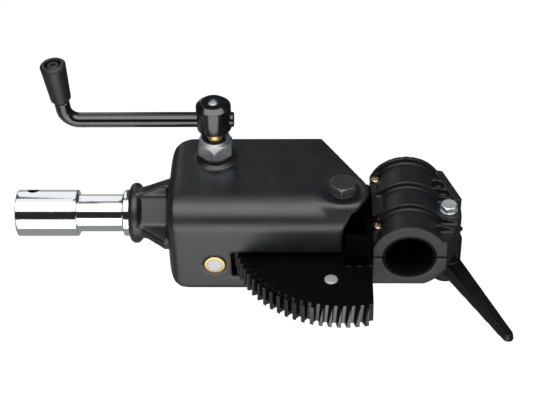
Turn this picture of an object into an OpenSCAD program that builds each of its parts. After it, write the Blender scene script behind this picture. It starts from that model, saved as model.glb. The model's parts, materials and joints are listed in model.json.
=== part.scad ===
// Geared tilt head: a worm-driven sector tilts a split tube clamp on a cast housing with a stand spigot.
// +X runs along the spigot towards the clamp, +Z is up along the crank shaft. Units are millimetres.
// The origin is the middle of the spigot's thick end, on its axis.

/* [Stand spigot] */
// Diameter of the thick end that a stand socket takes
spigot_d = 28; // [26:0.5:29]
// Length of the thick end
spigot_len = 36.8; // [32:0.2:42]
// Diameter of the neck
neck_d = 22.5; // [21:0.5:24]
// Length of the neck
neck_len = 27; // [22:0.5:32]
// Length of the collar against the housing
collar_len = 4.2; // [3:0.2:6]
// Chamfer on the spigot's edges
spigot_chamfer = 1; // [0.4:0.1:1.5]
// Diameter of the shank inside the nose
shank_d = 20; // [18:0.5:22]
// Diameter of the bolt that holds the spigot
spigot_bolt_d = 10; // [8:0.5:10.5]
// Hexagon across flats of that bolt
spigot_bolt_hex = 16; // [13:0.5:17]
// Height of that bolt's head
spigot_bolt_head = 6.4; // [5:0.2:7]
// Diameter of that bolt's washer
spigot_washer_d = 18; // [16:0.5:20]
// Thickness of that bolt's washer
spigot_washer_t = 1.6; // [1:0.1:2]
// Length of that bolt's thread in the shank
spigot_bolt_grip = 14.5; // [10:0.5:16]
// Diameter of the safety hole through the thick end
safety_hole_d = 7; // [5:0.5:8]
// Distance of the safety hole from the free end
safety_hole_pos = 9.5; // [8:0.5:12]
// Turn of the safety hole about the spigot, from straight up
safety_hole_turn = 24; // [0:1:45]

/* [Nose of the housing] */
// Diameter of the rolled flange
flange_d = 36.7; // [35:0.1:40]
// Thickness of the rolled flange
flange_t = 7.3; // [6:0.1:9]
// Length of the ribbed nose between flange and housing
nose_len = 16.6; // [14:0.2:20]
// Diameter of the nose core
nose_d = 33; // [32:0.5:34]
// Distance across the flats of the nose core
nose_flats = 27.8; // [26:0.2:30]
// Thickness of the four nose ribs
nose_rib_t = 7; // [5:0.5:9]
// Height of the ribs above the core at the flange
nose_rib_start = 1.6; // [1:0.2:3]

/* [Housing] */
// Length from the nose face to the pivot
housing_len = 103.5; // [98:0.5:112]
// Width of the housing
housing_w = 70.8; // [68:0.2:76]
// Height of the housing
housing_h = 60.4; // [58:0.2:66]
// Thickness of the walls
wall = 3.2; // [2.6:0.1:4]
// Radius along the top front edge
top_front_r = 10.6; // [6:0.2:14]
// Radius along the top rear edge
top_rear_r = 2.6; // [2:0.2:6]
// Radius along the bottom edges
bottom_r = 3; // [2:0.2:4]
// Radius of the rear upright corner at the nose
rear_left_r = 18; // [12:0.5:20]
// Radius of the front upright corner at the nose
front_left_r = 8; // [5:0.5:12]
// Radius of the top edge at the nose
nose_top_r = 8; // [5:0.5:12]
// Radius of the bottom edge at the nose
nose_bottom_r = 15; // [8:0.5:18]
// Radius of the round end over the pivot
pivot_end_r = 15; // [14.5:0.1:16]
// Angle of the front corner cut
front_cut = 30; // [30:1:35]
// Angle of the rear corner cut
rear_cut = 31; // [31:1:36]
// Radius between the front face and its corner cut
front_cut_r = 13; // [8:0.5:14]
// Radius between the rear face and its corner cut
rear_cut_r = 4; // [3:0.5:8]
// Height at which the end of the front wall starts to flare out
flare_z = 9; // [6:0.5:12]
// Radius of that flare
flare_r = 30; // [28:1:40]
// Gap above and below the sector in its slot
slot_gap = 2.5; // [1:0.1:3]
// Thickness of the plate that closes the bottom
base_t = 3; // [2.5:0.1:4]
// Diameter of the screws in the bottom plate
base_screw_d = 4; // [3:0.5:4.5]
// Head diameter of those screws
base_head_d = 7.4; // [6.4:0.1:7.6]
// Socket of those screws, across corners
base_socket = 2.9; // [2:0.1:3]
// Distance of the first pair of those screws from the plate's edge
base_screw_edge = 4.6; // [4.4:0.1:8]
// Distance of the middle pair from the pivot
base_screw_mid = 50; // [40:1:55]
// Distance of the last pair from the pivot
base_screw_end = 18; // [14:1:24]
// Height of the bosses over the plate
base_boss_h = 7; // [6:0.5:8]
// Height of the boss under the worm's front bush
base_boss_low = 4; // [3.5:0.1:4.5]
// Diameter of the bosses for those screws
base_boss_d = 9.5; // [9:0.5:10]

/* [Pivot] */
// Distance of the pivot from the front face
pivot_inset = 20.4; // [20:0.1:21.4]
// Diameter of the pivot bolt
pivot_d = 10; // [8:0.5:10]
// Hexagon across flats of the pivot bolt and nut
pivot_hex = 16; // [15:0.5:17]
// Height of the pivot bolt's head
pivot_head_h = 6.4; // [5:0.2:7]
// Diameter of the pivot washers
pivot_washer_d = 19.5; // [18.5:0.5:21]
// Thickness of the pivot washers
pivot_washer_t = 2; // [1:0.2:2.6]
// Diameter of the recess round the upper washer
pivot_recess_d = 24; // [22:0.5:26]
// Depth of that recess
pivot_recess = 0.8; // [0.4:0.1:1.2]
// Diameter of the pivot bosses inside the housing
pivot_boss_d = 24; // [22:0.5:26]
// Thickness of the plastic thrust washers
thrust_t = 1.1; // [0.8:0.1:1.6]
// Height of the pivot nut
pivot_nut_h = 8.4; // [7:0.2:10]
// Wall of the bronze pivot bushes
bush_wall = 2; // [1.5:0.1:2.4]

/* [Worm and sector] */
// Teeth that the full gear of the sector has
sector_teeth = 78; // [74:1:80]
// Module of the sector and the worm
tooth_module = 1.64; // [1.6:0.01:1.66]
// Thickness of the sector
sector_t = 13.4; // [12:0.2:14]
// Height of the middle of the sector
sector_z = -10.3; // [-11:0.1:-9.5]
// Teeth of the sector on the rear side of the worm
rear_teeth = 7; // [6:1:8]
// Teeth of the sector on the front side of the worm
front_teeth = 22; // [20:1:22]
// Pitch diameter of the worm
worm_d = 22.7; // [22:0.1:24]
// Length of the neck between the worm and its front bush
worm_neck = 0.8; // [0.4:0.1:2]
// Gap between the worm and the hub of its mitre gear
worm_gap = 3.5; // [1:0.1:5]
// Play on each flank
flank_play = 0.16; // [0.1:0.01:0.25]
// Pressure angle
pressure = 20; // [18:0.5:22]
// Diameter of the worm shaft's front end
worm_pin_d = 8.8; // [8:0.1:9]
// Diameter of the worm shaft behind the worm
worm_shaft_d = 7; // [6.4:0.1:7.2]
// Outer diameter of the worm bushes
worm_bush_d = 12.5; // [12:0.1:13]
// Length of the worm bushes
worm_bush_len = 7.6; // [6.5:0.1:8]
// Height that the worm bushes stand out of the walls
worm_bush_proud = 0.3; // [0.1:0.1:0.6]
// Diameter of the collar at the worm shaft's rear bush
worm_collar_d = 11.2; // [10.5:0.1:11.4]

/* [Mitre gears] */
// Distance of the crank shaft from the rear face
crank_inset = 20.4; // [20:0.1:21.4]
// Teeth of each mitre gear
mitre_teeth = 14; // [12:1:16]
// Pitch radius of the mitre gears
mitre_r = 8.5; // [8:0.1:9]
// Face width of the mitre gears along the shaft
mitre_face = 4; // [3:0.1:4.2]
// Height of the hubs behind the mitre gears
mitre_hub_h = 6; // [5:0.5:8]
// Diameter of those hubs
mitre_hub_d = 14; // [12.5:0.5:15]
// Diameter of the roll pins in the hubs
roll_pin_d = 2.5; // [2:0.5:3]

/* [Crank] */
// Diameter of the crank shaft
crank_shaft_d = 7; // [6.4:0.1:7.2]
// Height of the raised seat on the housing
seat_h = 2.2; // [1.5:0.1:3]
// Diameter of the raised seat and the washer on it
seat_d = 20.6; // [19.5:0.1:22]
// Radius of the fillet round the seat
seat_fillet = 2.4; // [1:0.1:3]
// Thickness of the washer
crank_washer_t = 2.2; // [1.5:0.1:3]
// Thread diameter of the crank bush
crank_thread_d = 12; // [12:0.5:13]
// Diameter of the crank bush above the nut
crank_bush_d = 10.8; // [10:0.1:11.4]
// Hexagon across flats of the crank nut
crank_hex = 19.5; // [18:0.5:21]
// Height of the crank nut
crank_nut_h = 11; // [9:0.5:12]
// Length of the bush between the nut and the crank head
bush_above_nut = 7.6; // [6:0.1:11]
// Diameter of the crank head
head_d = 20.5; // [19:0.1:22]
// Height of the crank head
head_h = 16.8; // [15:0.1:18]
// Chamfer at the top of the head, across
head_chamfer = 2.8; // [1.5:0.1:3.2]
// Diameter of the crank rod
rod_d = 8.9; // [8:0.1:9]
// Height of the rod's middle over the bottom of the head
rod_in_head = 5.6; // [5.2:0.1:7]
// Length of rod beyond the head
rod_stub = 1.5; // [0.5:0.1:4]
// Arm of the crank, from its shaft to the upright leg
crank_arm = 86.8; // [70:0.5:100]
// Radius of the rod's bend
bend_r = 9; // [7:0.5:14]
// Outward lean of the upright leg
leg_lean = 5.2; // [0:0.2:10]
// Length of the leg from the rod's middle line to the grip
leg_len = 13.8; // [12:0.2:20]

/* [Grip] */
// Diameter of the grip at its top
grip_top_d = 15; // [13:0.2:18]
// Diameter of the grip at its bottom
grip_bottom_d = 12; // [11:0.2:13]
// Length of the grip
grip_len = 26; // [22:0.5:32]
// Diameter of the spindle inside the grip
spindle_d = 6; // [5:0.2:7]
// Diameter of the recess in the top of the grip
grip_recess_d = 9.6; // [9:0.2:10.4]
// Depth of that recess
grip_recess = 3; // [2.6:0.1:4]
// Diameter of the grip's screw
grip_screw_d = 3.5; // [3:0.1:4]
// Length of the grip's screw in the spindle
grip_screw_len = 8; // [6:0.5:10]
// Head diameter of the grip's screw
grip_head_d = 8.4; // [7:0.1:8.6]
// Head height of the grip's screw
grip_head_h = 2; // [1.5:0.1:2.2]

/* [Tilt bracket] */
// Thickness of the bracket's top plate
bracket_t = 4; // [3:0.2:4.6]
// Height of the bracket's top
bracket_top = 19; // [17:0.2:19]
// Thickness of the plate behind the clamp
end_plate_t = 4.6; // [4:0.1:4.6]
// Distance of the bracket's front face from the pivot
bracket_front = 29; // [28.8:0.1:31]
// Distance of the bracket's rear edge from the pivot
bracket_rear = 37; // [32:0.5:38]
// Width of the bracket's front flange
front_flange_w = 16; // [14:0.5:16.4]
// Thickness of that flange
front_flange_t = 3.6; // [3:0.1:3.8]
// Diameter of the tube round the pivot
pivot_tube_d = 20; // [19:0.5:22]

/* [Tube clamp] */
// Distance of the clamp's left face from the pivot
clamp_gap = 16.8; // [16.6:0.1:18]
// Diameter that the liner holds
tube_d = 28.2; // [25:0.1:28.6]
// Thickness of the liner
liner_t = 1.3; // [1:0.1:1.6]
// Thickness of the shell between its ribs
shell_t = 4.1; // [3.2:0.1:4.6]
// Diameter over the ribs
rib_d = 45.2; // [43:0.2:46]
// Width of the clamp across its side flats
clamp_flats = 43.2; // [42:0.2:44]
// Length of the clamp along the tube
clamp_len = 66.4; // [62:0.2:70]
// Distance of the clamp's middle from the pivot, towards the rear
clamp_mid = 7.8; // [6:0.1:9]
// Thickness of the ribs
rib_t = 2.6; // [2:0.1:3.4]
// Distance between the middle ribs
rib_gap = 20.2; // [18:0.2:24]
// Distance from the clamp's front face to its first middle rib
rib_first = 20.9; // [16:0.1:24]
// Gap between the two halves
split_gap = 1; // [0.6:0.1:1.6]
// Depth of the flat bottom below the tube's axis
clamp_flat_z = 20.7; // [19.8:0.1:21.5]
// Height of the upper side lugs above the tube's axis
upper_lug = 8; // [6:0.2:9]
// Depth of the lower side lug below the tube's axis
lower_lug = 9.6; // [8:0.2:11]
// Distance of the clamp bolt from the tube's axis
clamp_bolt_x = 24.2; // [22.8:0.1:27]
// Distance of the lug's edge from the clamp bolt
lug_edge = 7.6; // [7:0.1:9]
// Diameter of the clamp bolt
clamp_bolt_d = 6; // [5:0.5:6]
// Hexagon across flats of the clamp bolt
clamp_hex = 10; // [8:0.5:11]
// Diameter of the two hinge-side screws
side_screw_d = 3.5; // [3:0.5:4]
// Head diameter of those screws
side_head_d = 6; // [5.5:0.1:6.4]
// Head height of those screws
side_head_h = 2.4; // [1.8:0.1:3]
// Length of those screws below the lugs' split
side_screw_len = 13; // [9:0.5:14]
// Diameter of the two screws that hold the clamp to the bracket
mount_screw_d = 5; // [4:0.5:5]
// Head diameter of those screws
mount_head_d = 8.4; // [7.5:0.1:8.6]
// Head height of those screws
mount_head_h = 3; // [2:0.1:3.4]
// Depth of those screws below the tube's axis
mount_screw_z = 9; // [8.5:0.1:9.5]
// Length of those screws in the sector
mount_reach = 12; // [9:0.5:12]
// Wall between those screws and the hinge-side screws
mount_wall = 1.3; // [0.8:0.1:2]
// Thickness of the washers of the clamp bolt
washer_t = 1.2; // [0.8:0.1:1.6]

/* [Lever] */
// Diameter of the lever's hub
lever_hub_d = 18.4; // [16:0.2:20]
// Height of the lever's hub
lever_hub_h = 30.5; // [26:0.5:34]
// Length of the lever from the bolt to its tip
lever_len = 73; // [60:1:80]
// Width of the arm at the hub
lever_root_w = 13; // [11:0.5:15]
// Width of the arm at its tip
lever_tip_w = 8.4; // [7:0.2:10]
// Drop of the arm from hub to tip
lever_drop = 5; // [0:0.5:8]
// Direction of the arm in plan
lever_turn = -59; // [-80:1:-40]

/* [Hidden] */

$fn = 64;
// Radial clearance of a running fit, of a fixed slip fit, and axial clearance between bodies
run = 0.05;
slip = 0.1;
side_play = 0.3;
// Overlap that joins two shapes of one solid, and the reach of a cut beyond the solid
join = 0.5;
past = 1;

// Stations along the spigot axis
neck_x = spigot_len / 2;
collar_x = neck_x + neck_len;
flange_x = collar_x + collar_len;
nose_x = flange_x + flange_t;
housing_x = nose_x + nose_len;
pivot_x = housing_x + housing_len;
pivot_y = pivot_inset - housing_w / 2;
crank_y = housing_w / 2 - crank_inset;

// Sector and worm
pitch_r = sector_teeth * tooth_module / 2;
tip_r = pitch_r + tooth_module;
root_r = pitch_r - 1.25 * tooth_module;
base_r = pitch_r * cos(pressure);
tooth_step = 360 / sector_teeth;
thread_pitch = PI * tooth_module;
worm_r = worm_d / 2;
worm_tip_r = worm_r + tooth_module;
worm_root_r = worm_r - 1.25 * tooth_module;
worm_front = -housing_w / 2 - worm_bush_proud + worm_bush_len + side_play + worm_neck;
worm_rear = crank_y - mitre_r - mitre_hub_h - worm_gap;
lead_angle = atan(thread_pitch / (2 * PI * worm_r));
worm_x = pivot_x - pitch_r - worm_r;
sector_low = sector_z - sector_t / 2;
sector_high = sector_z + sector_t / 2;

// Housing faces
half_w = housing_w / 2;
half_h = housing_h / 2;
inner_w = half_w - wall;
ceiling = half_h - wall;
floor_z = -half_h + base_t;
front_bend = [pivot_x + (pivot_end_r - front_cut_r - sin(front_cut) * (half_w - front_cut_r + pivot_y))
    / cos(front_cut), -half_w + front_cut_r];
rear_bend = [pivot_x + (pivot_end_r - rear_cut_r - sin(rear_cut) * (half_w - rear_cut_r - pivot_y))
    / cos(rear_cut), half_w - rear_cut_r];
slot_low = sector_low - slot_gap;
slot_high = sector_high + slot_gap;
slot_left = worm_x + 10;
// Ends of the slot in the rear wall, from the sector's tips and from its end at full tilt
slot_end = 4.6;
full_tilt = 30;
rear_slot = [pivot_x - sqrt(pow(tip_r + slot_end, 2) - pow(inner_w - pivot_y, 2)),
    pivot_x + slot_end + (inner_w - pivot_y) / tan(180 - (rear_teeth + 0.5) * tooth_step - full_tilt)];
plate_x = housing_x + nose_bottom_r;
screw_y = inner_w - base_boss_d / 2 + 0.4;
base_screw_spots = [[plate_x + base_screw_edge, -screw_y, base_boss_low],
    [plate_x + base_screw_edge, screw_y, base_boss_h + 1],
    for (x = [base_screw_mid, base_screw_end], side = [-1, 1]) [pivot_x - x, side * screw_y, base_boss_h]];

// Crank stack, from the housing's top upwards
seat_top = half_h + seat_h;
crank_nut_z = seat_top + crank_washer_t;
crank_nut_top = crank_nut_z + crank_nut_h;
head_z = crank_nut_top + bush_above_nut;
rod_z = head_z + rod_in_head;
apex = [worm_x, crank_y, sector_z];

// Upright leg of the crank rod
leg_dir = [-sin(leg_lean), 0, cos(leg_lean)];
corner = [worm_x - crank_arm, crank_y, rod_z];
bend_turn = 90 - leg_lean;
bend_run = bend_r * tan(bend_turn / 2);
// the leg is turned down by this much above the bend
leg_step = 0.15;

// Pivot stack
washer_seat = half_h - pivot_recess;
pivot_head_z = washer_seat + pivot_washer_t;
pivot_nut_z = -half_h - pivot_washer_t;
upper_boss_z = bracket_top + side_play + thrust_t;
lower_boss_z = sector_low - side_play - thrust_t;
pivot_bore_r = pivot_d / 2 + run;
bush_r = pivot_d / 2 + bush_wall;

// Tube clamp
tube_x = pivot_x + clamp_gap + clamp_flats / 2;
clamp_y = pivot_y + clamp_mid;
clamp_front = clamp_y - clamp_len / 2;
clamp_rear = clamp_y + clamp_len / 2;
bore_r = tube_d / 2 + liner_t;
shell_r = bore_r + shell_t;
rib_r = rib_d / 2;
flat_x = clamp_flats / 2;
flat_z = sqrt(rib_r * rib_r - flat_x * flat_x);
end_plate_x = pivot_x + clamp_gap - end_plate_t;
rib_spots = [clamp_front, clamp_front + rib_first, clamp_front + rib_first + rib_gap, clamp_rear - rib_t];
bolt_x = tube_x + clamp_bolt_x;
bolt_y = clamp_y - 1.3;
lever_top = -lower_lug - washer_t - side_play;
lever_bottom = lever_top - lever_hub_h;
side_screw_y = [clamp_rear - rib_t - side_head_d / 2 - 0.6, rib_spots[1] - side_head_d / 2 - 0.8];
side_screw_x = -flat_x + side_head_d / 2 + 0.3;
mount_hole_r = mount_head_d / 2 + 0.4;
mount_screw_y = [for (y = side_screw_y) y - side_screw_d / 2 - mount_wall - mount_hole_r];
mount_head_x = -flat_x + 3.6;

csk_r = base_head_d / 2;
bush_low = sector_z + mitre_r + mitre_hub_h + side_play;
// Ends of the worm shaft's collar: clear of the crank's mitre gear, and at the rear bush
collar_from = crank_y + cone_r(2 * mitre_r / mitre_teeth * cos(45)) / mitre_r * worm_collar_d / 2 + 2 * side_play;
collar_y = half_w + worm_bush_proud - worm_bush_len - side_play;
collar_pin_y = (collar_from + collar_y) / 2;

// ---- helpers ----

function arc(c, r, from, to, n = 10) =
    [for (i = [0:n]) c + r * [cos(from + (to - from) * i / n), sin(from + (to - from) * i / n)]];

function involute(a) = tan(a) * 180 / PI - a;

// Half angle of a gear tooth at radius r
function tooth_half(r, pr, teeth, play) =
    90 / teeth - play / pr * 180 / PI + involute(pressure) - involute(acos(min(1, pr * cos(pressure) / r)));

// Extrudes a Y-Z outline along X
module along_x(from, to) {
    translate([from, 0, 0]) rotate([90, 0, 90]) linear_extrude(to - from) children();
}

// Extrudes an X-Z outline along Y
module along_y(from, to) {
    translate([0, to, 0]) rotate([90, 0, 0]) linear_extrude(to - from) children();
}

module tube(r, hole, h) {
    difference() {
        cylinder(r = r, h = h);
        translate([0, 0, -past]) cylinder(r = hole, h = h + 2 * past);
    }
}

// Hexagonal prism with its outer corners chamfered at the chosen ends
module hexagon(flats, h, top = true, bottom = false) {
    corner_r = flats / 2 / cos(30);
    bevel = (corner_r - flats / 2) * 0.6;
    intersection() {
        cylinder(r = corner_r, h = h, $fn = 6);
        rotate_extrude() polygon([[0, 0], [corner_r - (bottom ? 1.6 * bevel : 0), 0],
            [corner_r, bottom ? bevel : 0], [corner_r, h - (top ? bevel : 0)],
            [corner_r - (top ? 1.6 * bevel : 0), h], [0, h]]);
    }
}

module at_pivot(z = 0) {
    translate([pivot_x, pivot_y, z]) children();
}

module at_crank(z = 0) {
    translate([worm_x, crank_y, z]) children();
}

// Puts local +Z on the worm's axis, pointing to the rear, with local +X towards the sector
module at_worm(y = 0) {
    translate([worm_x, y, sector_z]) rotate([-90, 0, 0]) children();
}

module at_tube(y = 0) {
    translate([tube_x, y, 0]) children();
}

// ---- housing ----

module housing_plan() {
    polygon(concat(
        arc([housing_x + front_left_r, -half_w + front_left_r], front_left_r, 180, 270),
        arc(front_bend, front_cut_r, -90, -front_cut),
        arc([pivot_x, pivot_y], pivot_end_r, -front_cut, rear_cut, 14),
        arc(rear_bend, rear_cut_r, rear_cut, 90, 6),
        arc([housing_x + rear_left_r, half_w - rear_left_r], rear_left_r, 90, 180, 14)));
}

module cavity_plan() {
    inner_x = housing_x + wall;
    front_r = front_left_r - wall;
    rear_r = rear_left_r - wall;
    polygon(concat(
        arc([inner_x + front_r, -inner_w + front_r], front_r, 180, 270, 6),
        [[pivot_x + 2 * pivot_end_r, -inner_w], [pivot_x + 2 * pivot_end_r, inner_w]],
        arc([inner_x + rear_r, inner_w - rear_r], rear_r, 90, 180, 8)));
}

module housing_section() {
    polygon(concat(
        arc([-half_w + bottom_r, -half_h + bottom_r], bottom_r, 180, 270, 4),
        arc([half_w - bottom_r, -half_h + bottom_r], bottom_r, -90, 0, 4),
        arc([half_w - top_rear_r, half_h - top_rear_r], top_rear_r, 0, 90, 5),
        arc([-half_w + top_front_r, half_h - top_front_r], top_front_r, 90, 180, 12)));
}

module cavity_section() {
    inner_r = top_front_r - wall;
    polygon(concat(
        [[-inner_w, -half_h - past], [inner_w, -half_h - past], [inner_w, ceiling]],
        arc([-inner_w + inner_r, ceiling - inner_r], inner_r, 90, 180, 8)));
}

module housing_side() {
    right = pivot_x + 2 * pivot_end_r;
    polygon(concat(
        arc([housing_x + nose_bottom_r, -half_h + nose_bottom_r], nose_bottom_r, 180, 270, 12),
        [[right, -half_h], [right, half_h]],
        arc([housing_x + nose_top_r, half_h - nose_top_r], nose_top_r, 90, 180, 10)));
}

module cavity_side() {
    right = pivot_x + 3 * pivot_end_r;
    polygon(concat(
        arc([plate_x, -half_h + nose_bottom_r], nose_bottom_r - wall, 180, 270, 8),
        [[plate_x, -half_h - past], [right, -half_h - past], [right, half_h]],
        arc([housing_x + nose_top_r, half_h - nose_top_r], nose_top_r - wall, 90, 180, 6)));
}

// Opening at the right end of the front wall, flared towards the top
module front_opening() {
    reach = pivot_x + 2 * pivot_end_r;
    turn = asin((ceiling - flare_z) / flare_r);
    along_y(-half_w - past, -half_w + top_front_r)
        polygon(concat([[reach, ceiling], [reach, -half_h - past], [pivot_x, -half_h - past]],
            arc([pivot_x + flare_r, flare_z], flare_r, 180, 180 - turn, 8)));
}

module nose_rib(height) {
    along_y(-nose_rib_t / 2, nose_rib_t / 2)
        polygon([[flange_x + flange_t / 2, 0], [flange_x + flange_t / 2, nose_d / 2 + nose_rib_start],
            [nose_x + 1, nose_d / 2 + nose_rib_start], [housing_x + 1, height], [housing_x + 1, 0]]);
}

module nose() {
    roll = flange_t / 2;
    translate([flange_x, 0, 0]) rotate([0, 90, 0]) rotate_extrude()
        polygon(concat([[0, 0]], arc([flange_d / 2 - roll, roll], roll, -90, 90, 12), [[0, flange_t]]));
    intersection() {
        translate([flange_x + roll, 0, 0]) rotate([0, 90, 0])
            cylinder(d = nose_d, h = housing_x - flange_x - roll + wall);
        rotate([45, 0, 0]) translate([flange_x, -nose_flats / 2, -nose_flats / 2])
            cube([flange_t + nose_len + wall, nose_flats, nose_flats]);
    }
    for (turn = [0, 180]) rotate([turn, 0, 0]) nose_rib(half_h - 5.4);
    for (turn = [90, 270]) rotate([turn, 0, 0]) nose_rib(half_w - 3.6);
}

// Raised seat of the crank with its fillet, over the housing's top
module crank_seat() {
    at_crank(half_h - join) rotate_extrude()
        polygon(concat([[0, 0], [seat_d / 2 + seat_fillet, 0], [seat_d / 2 + seat_fillet, join]],
            arc([seat_d / 2 + seat_fillet, join + seat_fillet], seat_fillet, 270, 180 + 24, 6),
            [[seat_d / 2, join + seat_h], [0, join + seat_h]]));
}

module worm_bearings() {
    boss_r = worm_bush_d / 2 + 2.6;
    at_worm(-half_w + 1) cylinder(r = boss_r, h = worm_bush_len - worm_bush_proud - 1.2);
    at_worm(half_w - worm_bush_len + worm_bush_proud + 0.2)
        cylinder(r = boss_r, h = worm_bush_len - worm_bush_proud - 1.2);
}

module housing() {
    color("#23262a") difference() {
        union() {
            difference() {
                intersection() {
                    translate([0, 0, -half_h]) linear_extrude(housing_h) housing_plan();
                    along_x(housing_x, pivot_x + 2 * pivot_end_r) housing_section();
                    along_y(-half_w, half_w) housing_side();
                }
                intersection() {
                    translate([0, 0, -half_h - past]) linear_extrude(housing_h) cavity_plan();
                    along_x(housing_x + wall, pivot_x + 2 * pivot_end_r + past) cavity_section();
                    along_y(-half_w, half_w) cavity_side();
                }
                front_opening();
                translate([slot_left, -half_w - past, slot_low])
                    cube([pivot_x - slot_left + past, wall + 2 * past, slot_high - slot_low]);
                translate([rear_slot[0], half_w - wall - past, slot_low])
                    cube([rear_slot[1] - rear_slot[0], wall + 2 * past, slot_high - slot_low]);
            }
            nose();
            crank_seat();
            worm_bearings();
            at_crank(ceiling - 1.6) cylinder(d = seat_d, h = 1.6 + join);
            at_pivot(upper_boss_z) cylinder(d = pivot_boss_d, h = ceiling - upper_boss_z + join);
            for (spot = base_screw_spots) translate([spot[0], spot[1], floor_z])
                cylinder(d = base_boss_d, h = spot[2]);
        }
        // spigot socket and the bolt hole behind it
        translate([flange_x - past, 0, 0]) rotate([0, 90, 0])
            cylinder(r = shank_d / 2 + slip, h = flange_t + nose_len - 2.6 + past);
        translate([flange_x, 0, 0]) rotate([0, 90, 0])
            cylinder(r = spigot_bolt_d / 2 + side_play, h = housing_x - flange_x + 2 * wall);
        at_crank(ceiling - 2 * wall) cylinder(r = crank_thread_d / 2 + slip, h = 4 * wall + seat_h);
        at_pivot(upper_boss_z - past) cylinder(r = pivot_d / 2 + slip, h = housing_h);
        at_pivot(washer_seat) cylinder(d = pivot_recess_d, h = pivot_recess + past);
        at_worm(-half_w - past) cylinder(r = worm_bush_d / 2, h = worm_bush_len + past + join);
        at_worm(half_w - worm_bush_len) cylinder(r = worm_bush_d / 2, h = worm_bush_len + past);
        for (spot = base_screw_spots) translate([spot[0], spot[1], floor_z - past])
            cylinder(r = base_screw_d / 2, h = spot[2] - 0.8 + past);
    }
}

module base_plate() {
    edge = wall + slip;
    color("#26282b") difference() {
        union() {
            intersection() {
                translate([0, 0, -half_h]) linear_extrude(base_t) housing_plan();
                translate([0, 0, -half_h]) linear_extrude(base_t) polygon(concat(
                    [[plate_x + slip, half_w - edge], [plate_x + slip, -half_w + edge]],
                    [[pivot_x + pivot_end_r + past, -half_w + edge], [pivot_x + pivot_end_r + past, half_w - edge]]));
            }
            at_pivot(-half_h) cylinder(d = pivot_boss_d, h = lower_boss_z + half_h);
        }
        at_pivot(-half_h - past) cylinder(r = pivot_d / 2 + slip, h = housing_h);
        for (spot = base_screw_spots) translate([spot[0], spot[1], -half_h]) {
            translate([0, 0, -past]) cylinder(r = base_screw_d / 2 + slip, h = base_t + 2 * past);
            cylinder(r1 = csk_r, r2 = base_screw_d / 2 + slip, h = csk_r - base_screw_d / 2 - slip);
        }
    }
}

module base_screws() {
    color("#3a3c40") for (spot = base_screw_spots) translate([spot[0], spot[1], -half_h]) difference() {
        union() {
            cylinder(r1 = csk_r, r2 = base_screw_d / 2, h = csk_r - base_screw_d / 2);
            cylinder(d = base_screw_d, h = base_t + spot[2] - 1);
        }
        translate([0, 0, -past]) cylinder(d = base_socket, h = past + 1.4, $fn = 6);
    }
}

// ---- spigot ----

module spigot() {
    c = spigot_chamfer;
    r = spigot_d / 2;
    tail = flange_x + flange_t + nose_len - 3;
    color("#d9dcdf") difference() {
        rotate([0, 90, 0]) rotate_extrude() polygon([[0, -neck_x], [r - c, -neck_x], [r, -neck_x + c],
            [r, neck_x - c], [r - c, neck_x], [neck_d / 2, neck_x], [neck_d / 2, collar_x],
            [r - c, collar_x + 0.6], [r, collar_x + 0.6 + c], [r, flange_x], [shank_d / 2, flange_x],
            [shank_d / 2, tail - 1], [shank_d / 2 - 1, tail], [0, tail]]);
        translate([tail - spigot_bolt_grip - 5, 0, 0]) rotate([0, 90, 0]) cylinder(d = spigot_bolt_d, h = tail);
        translate([-neck_x + safety_hole_pos, 0, 0]) rotate([-safety_hole_turn, 0, 0])
            translate([0, 0, -spigot_d]) cylinder(d = safety_hole_d, h = 2 * spigot_d);
    }
}

module spigot_washer() {
    color("#8c9094") translate([housing_x + wall, 0, 0]) rotate([0, 90, 0])
        tube(spigot_washer_d / 2, spigot_bolt_d / 2 + slip, spigot_washer_t);
}

module spigot_bolt() {
    seat = housing_x + wall + spigot_washer_t;
    low = flange_x + flange_t + nose_len - 3 - spigot_bolt_grip;
    color("#5a5d61") translate([seat, 0, 0]) rotate([0, 90, 0]) {
        hexagon(spigot_bolt_hex, spigot_bolt_head);
        translate([0, 0, low - seat]) cylinder(d = spigot_bolt_d, h = seat - low);
    }
}

// ---- crank bearing ----

module crank_bush() {
    under = ceiling - 1.6;
    color("#a98545") at_crank() difference() {
        union() {
            translate([0, 0, bush_low]) cylinder(d = crank_thread_d, h = crank_nut_top - bush_low);
            translate([0, 0, under - 3]) cylinder(d = seat_d - 1, h = 3);
            translate([0, 0, crank_nut_top - 1]) cylinder(d = crank_bush_d, h = 1 + bush_above_nut - side_play);
        }
        translate([0, 0, bush_low - past]) cylinder(r = crank_shaft_d / 2 + run, h = head_z);
    }
}

module crank_washer() {
    color("#1e1f21") at_crank(seat_top) tube(seat_d / 2, crank_thread_d / 2 + slip, crank_washer_t);
}

module crank_nut() {
    color("#b9bdc1") at_crank(crank_nut_z) difference() {
        union() {
            rotate(30) hexagon(crank_hex, crank_nut_h - 2.6, true, true);
            cylinder(d = crank_hex - 1.6, h = crank_nut_h);
        }
        translate([0, 0, -past]) cylinder(d = crank_thread_d, h = crank_nut_h + 2 * past);
        translate([0, 0, crank_nut_h - 3.2]) cylinder(d = crank_hex - 4, h = 3.2 + past);
    }
}

module crank_nut_ring() {
    color("#55607a") at_crank(crank_nut_top - 3.2) tube(crank_hex / 2 - 2, crank_thread_d / 2, 2.6);
}

// ---- worm bearing ----

module worm_bush_front() {
    color("#b08d4c") at_worm(-half_w - worm_bush_proud) tube(worm_bush_d / 2, worm_pin_d / 2 + run, worm_bush_len);
}

module worm_bush_rear() {
    color("#b08d4c") at_worm(half_w + worm_bush_proud - worm_bush_len)
        tube(worm_bush_d / 2, worm_shaft_d / 2 + run, worm_bush_len);
}

// ---- pivot ----

module thrust_washer_top() {
    color("#d8d4c6") at_pivot(upper_boss_z - thrust_t) tube(pivot_boss_d / 2 - 1, pivot_d / 2 + slip, thrust_t);
}

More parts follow.
